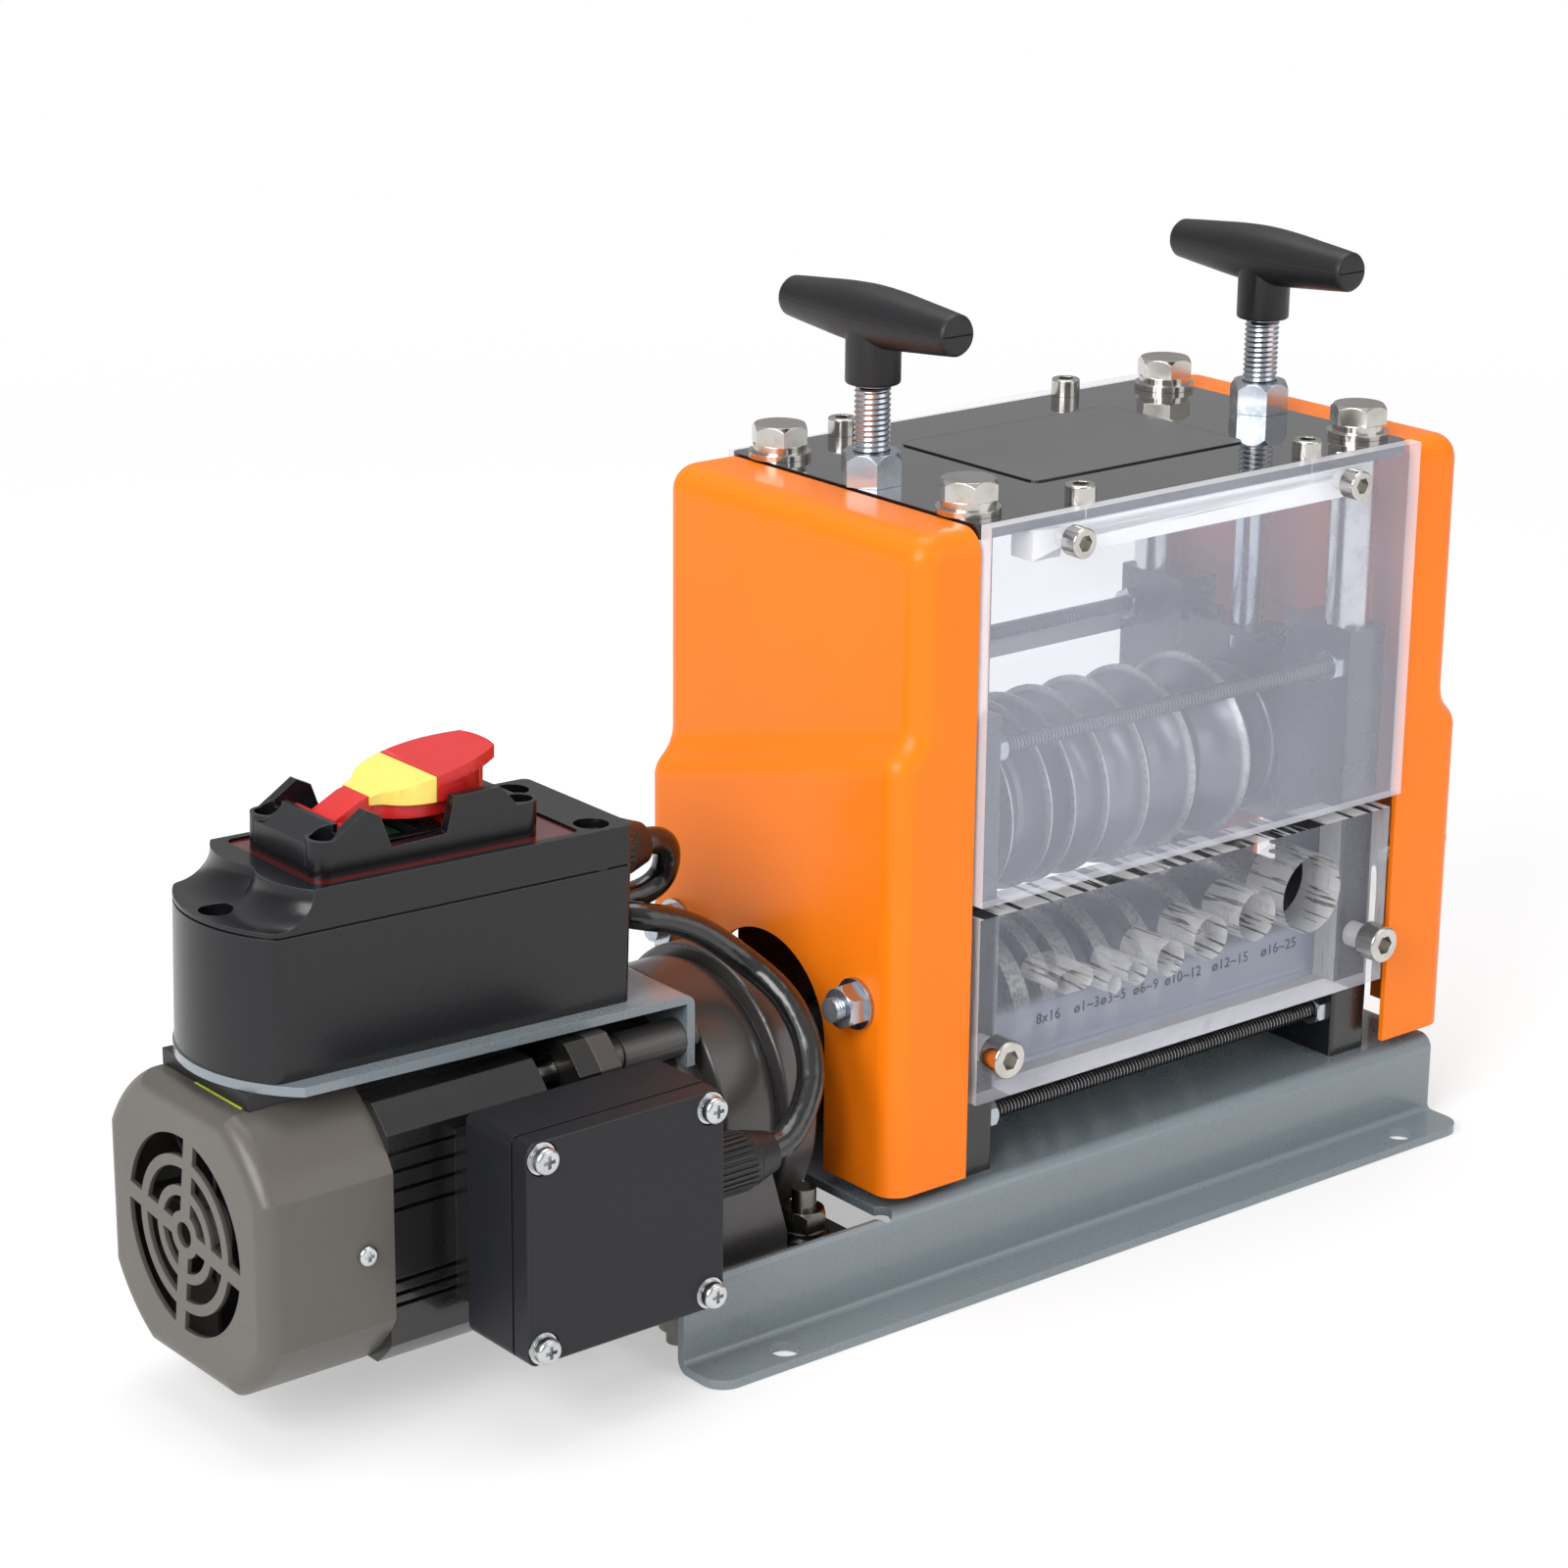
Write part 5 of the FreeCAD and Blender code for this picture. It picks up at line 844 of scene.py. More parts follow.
    def join(self, *others: "Workpiece") -> "Workpiece":
        """Hold other pieces in the same mesh, without welding."""
        self._alone()
        for other in others:
            other.obj.select_set(True)
        bpy.ops.object.join()
        return self

    def copy(self, name: str, move: Optional[Matrix] = None) -> "Workpiece":
        """Copy with its own mesh, moved by a matrix."""
        twin = self.obj.copy()
        twin.data = self.obj.data.copy()
        bpy.context.collection.objects.link(twin)
        if move is not None:
            twin.data.transform(move)
            if move.determinant() < 0:
                twin.data.flip_normals()
        return Workpiece(twin, name)

    def smooth(self, angle: float = 40.0) -> "Workpiece":
        """Shade smooth, but for edges sharper than the angle."""
        self._alone()
        bpy.ops.object.shade_smooth_by_angle(angle=math.radians(angle))
        return self

    def dress(self, *materials: bpy.types.Material) -> "Workpiece":
        """Give the piece its materials, the first for all its faces."""
        self.obj.data.materials.clear()
        for material in materials:
            self.obj.data.materials.append(material)
        return self

    def paint(self, index: int, pick: Pick) -> "Workpiece":
        """Use another of its materials on the picked faces."""
        for face in self.obj.data.polygons:
            if pick(face.center, face.normal):
                face.material_index = index
        return self

    def mount(self, body: str, slot: str, *nodes: str) -> "Workpiece":
        """Put the piece on its body in place of its nodes.

        Args:
            body: the moving or fixed body that carries it.
            slot: a material slot name, which is not used.
            nodes: the nodes of the construction that it stands for.

        Returns:
            This piece.
        """
        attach(self.obj, body)
        if nodes:
            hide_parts(*nodes)
        LOG.info("%s on %s, %d faces", self.obj.name, body, len(self.obj.data.polygons))
        return self


# the machine's finishes

ORANGE = Enamel(
    "orange_enamel", linear(244, 122, 12), 0.38, 0.08, edge_colour=linear(255, 170, 100), edge_share=0.15,
    specular=0.22,
)
SLATE = Enamel(
    "slate_enamel", linear(118, 128, 134), 0.32, 0.5, 0.000003, drift=0.02, edge_colour=linear(176, 184, 190),
    edge_share=0.3, handling=0.03,
)
BLACK_STEEL = Enamel("black_steel", linear(24, 24, 27), 0.3, 0.4, edge_colour=linear(110, 110, 114), edge_share=0.45)
MIRROR = Mirror("black_mirror")
BLANK = Bordered("blank_plate", linear(92, 92, 94), (44.0 * MM, 2.0 * MM), (48.0 * MM, 34.0 * MM))
NICKEL = Metal("nickel_screws", linear(204, 201, 196), linear(168, 162, 152), 0.17)
ZINC = Metal("zinc_plate", linear(184, 190, 198), linear(150, 160, 174), 0.24)
SMALL_ZINC = Metal("small_screw_zinc", linear(205, 207, 208), linear(172, 176, 184), 0.22, black_above=0.14)
DARK_NICKEL = Metal("dark_nickel", linear(120, 118, 114), linear(84, 78, 70), 0.24)
STEEL = Metal("bright_steel", linear(206, 207, 209), linear(160, 158, 154), 0.24, Axis.Z)
SHAFT = Metal("ground_shaft", linear(185, 185, 186), linear(130, 128, 124), 0.22, Axis.Z)
SPRING = Metal("spring_wire", linear(170, 170, 172), linear(110, 104, 98), 0.3)
ALUMINIUM = Metal(
    "brushed_aluminium", linear(252, 252, 253), linear(240, 241, 243), 0.45, Axis.X, 0.000006, 0.3, metallic=0.1
)
BLACK_ROD = Metal("black_oxide", linear(50, 49, 50), linear(40, 38, 36), 0.3)
# Lighter thread crests: partly bare steel where the black oxide is rubbed off, partly a painted highlight.
CREST = Metal("rod_crests", linear(196, 196, 198), linear(150, 148, 146), 0.22)
CUTTER = Turned(
    "cutter_steel", linear(112, 114, 120), linear(206, 206, 208), axis_z=0.137, radius=0.033, rim_width=0.0026,
    roughness=0.3, grit=0.06, ring_depth=0.000004,
)
ROLLER = Turned(
    "roller_steel", linear(110, 110, 112), linear(196, 194, 190), axis_z=0.062, radius=0.030, rim_width=0.004,
    roughness=0.34, grit=0.3, ring_depth=0.000012,
)
TAUPE = Cast("taupe_lacquer", linear(92, 87, 81), 0.44, 0.1)
GREY_CAST = Cast("grey_casting", linear(80, 78, 77), 0.32, 0.4)
MOTOR_BLACK = Enamel("motor_black", linear(24, 23, 22), 0.3, 0.4)
CORE = Metal("core_steel", linear(105, 103, 102), linear(70, 60, 52), 0.45)
HOUSING = Moulded("switch_housing", linear(16, 17, 21), 0.3, 0.000002, 0.0005, 0.12, 0.75, 0.12, specular=0.38)
TERMINAL = Moulded("terminal_housing", linear(25, 26, 31), 0.46, 0.000012, 0.00035, 0.3, specular=0.35)
GRIP = Moulded("grip_plastic", linear(22, 22, 25), 0.46, 0.00003, 0.0006, 0.4, 0.2, specular=0.45)
RUBBER = Moulded("gland_rubber", linear(22, 22, 24), 0.42, 0.00002, 0.0004, 0.4)
RED = Moulded("red_plastic", linear(200, 36, 36), 0.36, 0.00001, 0.0004, 0.15, 0.12, 0.1, 0.05, 0.35)
YELLOW = Moulded("yellow_plastic", linear(242, 214, 104), 0.38, 0.00001, 0.0004, 0.12, 0.1, 0.1, 0.05, 0.35)
GREEN = Moulded("green_plastic", linear(24, 130, 60), 0.32, 0.00001, 0.0004, 0.2, 0.15, 0.2, 0.04)
GASKET = Moulded("red_gasket", linear(88, 8, 12), 0.3, 0.000006, 0.0005, coat=0.5)
PANEL = Veil("panel_veil", linear(226, 231, 248), 0.14, 0.13)
BLOCK = Veil("guide_acrylic", linear(196, 201, 216), 0.1, 0.1)
# Rear face of the guide block: below 84 mm a painted shade hides the lower half of the feed roller, which lies in
# shade.
BLOCK_BACK = Veil("guide_acrylic_back", linear(148, 154, 171), 0.2, 0.0, 0.1, 0.56)
# On the bore walls and the block's top face the bright streaks and dark gaps are partly cut marks and partly painted
# reflection.
BORE = Streaked("bore_wall", Axis.Y, (0.97, 0.97, 0.98), (0.12, 0.12, 0.13), 0.0014, (0.54, 0.62), 0.4, 0.15)
TOP_CUT = Streaked("top_cut", Axis.Y, (0.95, 0.95, 0.97), (0.03, 0.03, 0.035), 0.006, (0.52, 0.57), 0.75, 0.1)
SIDE_CUT = Streaked("side_cut", Axis.Z, (0.95, 0.95, 0.97), (0.5, 0.51, 0.55), 0.0009, (0.5, 0.66), 0.45, 0.1)
SAWN = Streaked("sawn_edge", Axis.Y, (0.96, 0.96, 0.98), (0.55, 0.56, 0.6), 0.001, (0.5, 0.7), 0.9, 0.05, 0.9)
INK = Moulded("scale_ink", linear(28, 29, 34), 0.5, 0.00001, 0.0004, 0.2)
LIME = Moulded("blank_lime_sheet", linear(176, 188, 40), 0.4, 0.000008, 0.0006, 0.3, 0.2)
STRIP = Moulded("blank_black_sheet", linear(26, 27, 32), 0.25, 0.000006, 0.0006, 0.3, 0.2, 0.4)
SLEEVE = Sleeve("cable_sleeve", linear(16, 16, 17))

NODE_FINISHES: dict[object, Sequence[str]] = {
    SLATE: ("base_channel", "switch_bracket"),
    BLACK_STEEL: ("motor_plate", "side_frame_left", "side_frame_right", "bearing_blocks", "keeper_plates"),
    MIRROR: ("top_plate",),
    BLANK: ("rating_plate",),
    NICKEL: ("socket_screws", "top_bolts"),
    ZINC: ("press_nuts", "tie_rod_nuts", "cover_studs", "press_screw_left", "press_screw_right"),
    SMALL_ZINC: ("small_screws",),
    DARK_NICKEL: ("foot_bolts", "gearbox_bolts"),
    STEEL: ("spacer_columns", "bearing_outers", "cutter_bearing_outers", "output_shaft"),
    SHAFT: ("feed_shaft", "cutter_shaft"),
    SPRING: ("lift_springs",),
    ALUMINIUM: ("panel_bars",),
    BLACK_ROD: ("tie_rods",),
    ORANGE: ("cover_left", "cover_right"),
    CUTTER: ("cutter_discs",),
    ROLLER: ("feed_roller",),
    TAUPE: ("fan_cover",),
    GREY_CAST: ("gearbox",),
    MOTOR_BLACK: ("motor_body",),
    CORE: ("stator", "rotor", "lay_shaft", "coupling_hubs"),
    HOUSING: ("switch_box", "switch_lid", "switch_frame", "switch_module"),
    TERMINAL: ("terminal_box", "terminal_lid"),
    GRIP: ("grip_left", "grip_right", "fan"),
    RUBBER: ("glands", "switch_pad"),
    RED: ("stop_flap", "stop_button"),
    GREEN: ("start_button",),
    GASKET: ("switch_gasket", "coupling_spider"),
    PANEL: ("front_panel", "rear_panel"),
    BLOCK: ("guide_block",),
    SLEEVE: ("link_cable",),
}


class Palette:
    """The finishes, each made into a material once."""

    def __init__(self) -> None:
        """Start with nothing made."""
        self.made: dict[object, bpy.types.Material] = {}

    def of(self, finish: object) -> bpy.types.Material:
        """Material of a finish."""
        if finish not in self.made:
            self.made[finish] = finish.make()
        return self.made[finish]

    def dress_nodes(self, nodes: dict[str, bpy.types.Object]) -> None:
        """Give every node of the construction its finish."""
        for finish, names in NODE_FINISHES.items():
            for name in names:
                materials = nodes[name].data.materials
                if not materials:
                    materials.append(self.of(finish))
                for index in range(len(materials)):
                    materials[index] = self.of(finish)
                LOG.info("%s dressed as %s", name, finish.name)


# sub-assemblies

@dataclass
class LinkCable:
    """Sleeved cable that runs from the switch box round to the terminal box."""

    diameter: float = 9.0 * MM
    length: float = 249.8 * MM
    route: tuple[Point, ...] = (
        (-165.3, 0.0, 150.7), (-144.8, 0.0, 150.1), (-127.4, 0.0, 149.5), (-127.5, 4.0, 131.0), (-156.5, 4.0, 131.0),
        (-156.5, -16.0, 134.0), (-133.0, -18.0, 127.0), (-116.5, -25.0, 112.5), (-111.0, -38.0, 104.0),
        (-111.5, -50.0, 93.5), (-115.5, -58.0, 83.0), (-123.5, -63.0, 74.0), (-134.0, -66.5, 67.0),
        (-154.0, -66.5, 67.0), (-174.0, -66.5, 67.0),
    )

    def build(self, palette: Palette) -> None:
        curve = bpy.data.curves.new("link_cord", "CURVE")
        curve.dimensions = "3D"
        curve.bevel_depth = self.diameter / 2
        curve.bevel_resolution = 6
        curve.resolution_u = 10
        curve.use_fill_caps = True
        line = curve.splines.new("NURBS")
        line.points.add(len(self.route) - 1)
        for point, place in zip(line.points, self.route):
            point.co = (*mm(*place), 1.0)
        line.order_u = 3
        line.use_endpoint_u = True
        curve.materials.append(palette.of(SLEEVE))
        cord = bpy.data.objects.new("link_cord", curve)
        bpy.context.collection.objects.link(cord)
        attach(cord, "base")
        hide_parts("link_cable")
        tuple(mm(*self.route[0]))
        LOG.info("link_cord laid through %d points", len(self.route))


def flowing(points: Sequence[tuple[float, float]], steps: int = 6) -> list[tuple[float, float]]:
    """Smooth line through points in a plane.

    Args:
        points: the points in order.
        steps: the number of short runs between two of them.

    Returns:
        The line's points, from the first to the last.
    """
    ends = [points[0], *points, points[-1]]
    line: list[tuple[float, float]] = []
    for before, start, end, after in zip(ends, ends[1:], ends[2:], ends[3:]):
        for step in range(steps):
            share = step / steps
            line.append(tuple(
                0.5 * (2 * b + (c - a) * share + (2 * a - 5 * b + 4 * c - d) * share ** 2
                       + (3 * b - a - 3 * c + d) * share ** 3)
                for a, b, c, d in zip(before, start, end, after)
            ))
    return line + [points[-1]]


@dataclass
class StopFlap:
    """Yellow and red stop flap, hinged on the leaning switch."""

    bend: Point = (-144.0, 0.0, 110.5)
    lean: float = math.radians(1.7)
    under: float = 182.3
    slab: float = 4.0
    parting: float = -228.4
    parting_gap: float = 0.12
    nose_bulge: float = 1.4
    skirt_low: float = 177.5
    arm_half: float = 6.6
    pin_radius: float = 1.5
    pin_half: float = 18.6
    pin_place: tuple[float, float] = (-257.0, 177.0)
    easing: float = 0.7
    lip: tuple[tuple[float, float], ...] = (
        (-246.8, 7.8), (-243.6, 8.4), (-240.4, 11.6), (-236.0, 14.2), (-228.4, 15.4),
        (-219.0, 15.0), (-211.0, 12.9), (-203.6, 9.3),
    )
    wall: tuple[tuple[float, float], ...] = (
        (-246.8, 7.8), (-243.6, 8.4), (-240.4, 11.6), (-236.0, 14.2), (-228.4, 15.4),
        (-219.0, 14.6), (-212.0, 11.7), (-206.5, 7.6),
    )
    skirt: tuple[tuple[float, float], ...] = (
        (-245.5, 7.0), (-242.4, 7.7), (-238.8, 10.3), (-234.5, 12.2), (-228.4, 12.9),
        (-219.0, 12.2), (-213.0, 9.8), (-209.0, 7.0),
    )
    crest: tuple[tuple[float, float], ...] = ((-248.0, 184.6), (-228.4, 190.2), (-203.6, 194.7), (-198.0, 195.7))
    arm: tuple[tuple[float, float], ...] = (
        (-259.9, 176.5), (-258.8, 179.3), (-249.7, 184.1), (-245.5, 185.3), (-245.5, 178.5), (-252.0, 176.5),
        (-255.0, 174.3), (-258.0, 174.2),
    )

    def plan(self, name: str, side: Sequence[tuple[float, float]], low: float, high: float) -> Workpiece:
        """Upright block whose flanks are smooth curves.

        Args:
            name: the piece's name.
            side: points of the rear flank, from the neck to the nose.
            low: height of its lower face in millimetres.
            high: height of its upper face in millimetres.

        Returns:
            The block.
        """
        rear = flowing(side)
        tip = (side[-1][0] + self.nose_bulge, 0.0)
        nose = flowing([rear[-1], (tip[0] - 0.3, rear[-1][1] * 0.5), tip, (tip[0] - 0.3, -rear[-1][1] * 0.5),
                        (rear[-1][0], -rear[-1][1])], 3)[1:-1]
        front = [(x, -y) for x, y in reversed(rear)]
        ring = rear + nose + front
        return Workpiece.outline(name, [mm(x, y, low) for x, y in ring], mm(0.0, 0.0, high - low))

    def beneath(self, name: str, drop: float) -> Workpiece:
        """What lies under the domed top, lowered by a drop."""
        top = [mm(x, -20.0, z - drop) for x, z in flowing(self.crest, 8)]
        ends = [mm(self.crest[-1][0], -20.0, 160.0), mm(self.crest[0][0], -20.0, 160.0)]
        return Workpiece.outline(name, top + ends, mm(0.0, 40.0, 0.0))

    def paddle(self) -> Workpiece:
        """Body and overhanging top of the flap."""
        body = self.plan("flap_body", self.wall, self.under, 200.0).keep(self.beneath("under_body", 0.0))
        top = self.plan("flap_top", self.lip, self.under, 200.0).keep(self.beneath("under_top", 0.0))
        return top.cut(self.beneath("under_slab", self.slab)).fuse(body)

    def build(self, palette: Palette) -> None:
        """Model the yellow front, the red tip and the red arm, and hinge them."""
        left, right = self.parting - self.parting_gap, self.parting + self.parting_gap
        whole = self.paddle()
        yellow = whole.copy("flap_yellow").keep(
            Workpiece.block("front_half", mm(-260.0, -30.0, 170.0), mm(left, 30.0, 210.0))
        )
        red = whole.keep(Workpiece.block("tip_half", mm(right, -30.0, 170.0), mm(-190.0, 30.0, 210.0)))
        red.obj.name = "flap_red"
        neck = Workpiece.outline(
            "flap_arm", [mm(x, -self.arm_half, z) for x, z in self.arm], mm(0.0, 2 * self.arm_half, 0.0)
        )
        skirt = self.plan("flap_skirt", self.skirt, self.skirt_low, self.under - 0.05)
        push = Workpiece.block("flap_push", mm(-222.0, -8.0, 172.5), mm(-209.5, 8.0, self.skirt_low + 1.0))
        neck.fuse(skirt, push)
        x, z = self.pin_place
        pin = Workpiece.rod("flap_pin", self.pin_radius * MM, mm(x, -self.pin_half, z), mm(x, self.pin_half, z), 32)
        pose = Matrix.Translation(mm(*self.bend)) @ Matrix.Rotation(self.lean, 4, "Y") @ Matrix.Translation(
            -mm(*self.bend)
        )
        neck.ease(self.easing * MM, 3).join(pin)
        for piece, finish in ((yellow, YELLOW), (red, RED), (neck, RED)):
            if piece is not neck:
                piece.ease(self.easing * MM, 3)
            piece.moved(pose).smooth(50.0).dress(palette.of(finish)).mount("flap", "yellow_red", "stop_flap")


@dataclass
class PressScrews:
    """The two press screws: long threads over plain shanks with a foot flange."""

    middle: float = 42.0
    reach: float = 88.0
    radius: float = 6.0
    flange: float = 8.0
    foot: tuple[float, float] = (168.05, 172.85)
    thread_low: float = 250.7
    turns: int = 19
    pitch: float = 1.75
    depth: float = 0.62
    top: float = 299.0

    def build(self, palette: Palette) -> None:
        """Model one screw, copy it, and mount both."""
        x = self.middle - self.reach
        high = self.thread_low + (self.turns + 0.5) * self.pitch
        shank = Workpiece.rod("press_shank", self.radius * MM, mm(x, 0, self.foot[0]), mm(x, 0, self.thread_low), 64)
        flange = Workpiece.rod("press_flange", self.flange * MM, mm(x, 0, self.foot[0]), mm(x, 0, self.foot[1]), 64)
        head = Workpiece.rod("press_head", self.radius * MM, mm(x, 0, high), mm(x, 0, self.top), 64)
        shank.fuse(flange).ease(0.4 * MM, 2)
        thread = Workpiece.thread(
            "press_thread", self.radius * MM, self.depth * MM, self.pitch * MM, self.turns,
            mm(x, 0, self.thread_low), Axis.Z,
        )
        shank.join(thread, head).smooth(45.0).dress(palette.of(ZINC))
        twin = shank.copy("press_thread_right", Matrix.Translation(mm(2 * self.reach, 0, 0)))
        shank.obj.name = "press_thread_left"
        shank.mount("screw_left", "zinc", "press_screw_left")
        twin.smooth(45.0).mount("screw_right", "zinc", "press_screw_right")


@dataclass
class Grips:
    """Moulded cross grips on the press screws."""

    middle: float = 42.0
    reach: float = 88.0
    height: float = 307.3
    half: float = 41.0
    hub_radius: float = 9.0
    hub_low: float = 285.5
    bore: float = 6.05
    bore_top: float = 299.3
    slit: tuple[float, float] = (0.6, 0.8)
    slit_reach: float = 7.0
    seam: float = 0.18
    swell: tuple[tuple[float, float], ...] = (
        (-39.8, 6.75), (-32.0, 7.55), (-24.0, 8.3), (-12.0, 9.4), (0.0, 9.9), (12.0, 9.4), (24.0, 8.3), (32.0, 7.55),
        (39.8, 6.75),
    )

    def build(self, palette: Palette) -> None:
        """Spin the bar, weld the hub, cut the end slits, and mount two grips."""
        x, z = self.middle - self.reach, self.height
        curve = [(y * MM, r * MM) for y, r in flowing(self.swell, 4)]
        rim = [(-self.half * MM, 0.0), (-self.half * MM, 5.3 * MM), (-40.8 * MM, 6.05 * MM)]
        profile = rim + curve + [(-y, r) for y, r in reversed(rim)]
        bar = Workpiece.spun("grip_bar", profile, mm(x, 0.0, z), Axis.Y, 72)
        hub = Workpiece.rod("grip_hub", self.hub_radius * MM, mm(x, 0, self.hub_low), mm(x, 0, z), 64)
        hub.ease(0.9 * MM, 3)
        bar.fuse(hub)
        bar.cut(Workpiece.rod("grip_bore", self.bore * MM, mm(x, 0, 280.0), mm(x, 0, self.bore_top), 48))
        wide, deep = self.slit
        for side in (-1, 1):
            near, far = sorted((side * (self.half - deep), side * (self.half + 1.0)))
            bar.cut(Workpiece.block(
                "grip_slit", mm(x - self.slit_reach, near, z - wide / 2), mm(x + self.slit_reach, far, z + wide / 2)
            ))
        bar.ease(0.25 * MM, 2, 50.0)
        seam_profile = [(y, r + self.seam * MM) for y, r in curve]
        seam = Workpiece.outline(
            "grip_seam", [mm(x, 0, z - self.seam / 2) + Vector((r, y, 0.0)) for y, r in seam_profile]
            + [mm(x, 0, z - self.seam / 2) + Vector((-r, y, 0.0)) for y, r in reversed(seam_profile)],
            mm(0, 0, self.seam),
        )
        bar.join(seam).smooth(42.0).dress(palette.of(GRIP))
        twin = bar.copy("grip_cross_right", Matrix.Translation(mm(2 * self.reach, 0, 0)))
        bar.obj.name = "grip_cross_left"
        bar.mount("screw_left", "black_plastic", "grip_left")
        twin.smooth(42.0).mount("screw_right", "black_plastic", "grip_right")


@dataclass
class TieRods:
    """Four threaded rods across the head."""

    left: float = -49.5
    turns: int = 122
    pitch: float = 1.5
    radius: float = 3.0
    depth: float = 0.55
    reach: float = 50.0
    heights: tuple[float, float] = (47.7, 174.0)

    def build(self, palette: Palette) -> None:
        """Wind one rod and copy it to its four places."""
        first = Workpiece.thread(
            "tie_rod_1", self.radius * MM, self.depth * MM, self.pitch * MM, self.turns,
            mm(self.left, -self.reach, self.heights[0]), Axis.X,
        )
        middle = mm(0, -self.reach, self.heights[0])
        first.dress(palette.of(BLACK_ROD), palette.of(CREST))
        # The crest faces get the lighter finish: partly bare steel and partly a painted highlight.
        first.paint(1, lambda at, way: math.hypot(at.y - middle.y, at.z - middle.z) > (self.radius - 0.06) * MM)
        rods = [first]
        rise = self.heights[1] - self.heights[0]
        for index, shift in enumerate(((0, 0, rise), (0, 2 * self.reach, 0), (0, 2 * self.reach, rise)), 2):
            rods.append(first.copy(f"tie_rod_{index}", Matrix.Translation(mm(*shift))))
        for rod in rods:
            rod.smooth(45.0).mount("base", "black_steel", "tie_rods")


@dataclass
class LiftSprings:
    """Coils under the bearing blocks, which shorten as the press comes down."""

    angle: float = 45.0
    kept_share: float = 0.3

    def build(self, palette: Palette, node: bpy.types.Object) -> None:
        """Take the coils over, thin their mesh and dress them.

        Args:
            palette: the finishes.
            node: the springs of the construction.
        """
        coils = Workpiece.taken("lift_coils", node).modify("DECIMATE", ratio=self.kept_share)
        coils.smooth(self.angle).dress(palette.of(SPRING))
        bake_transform(coils.obj)
        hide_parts("lift_springs")
        LOG.info("lift_coils between base and press, %d faces", len(coils.obj.data.polygons))


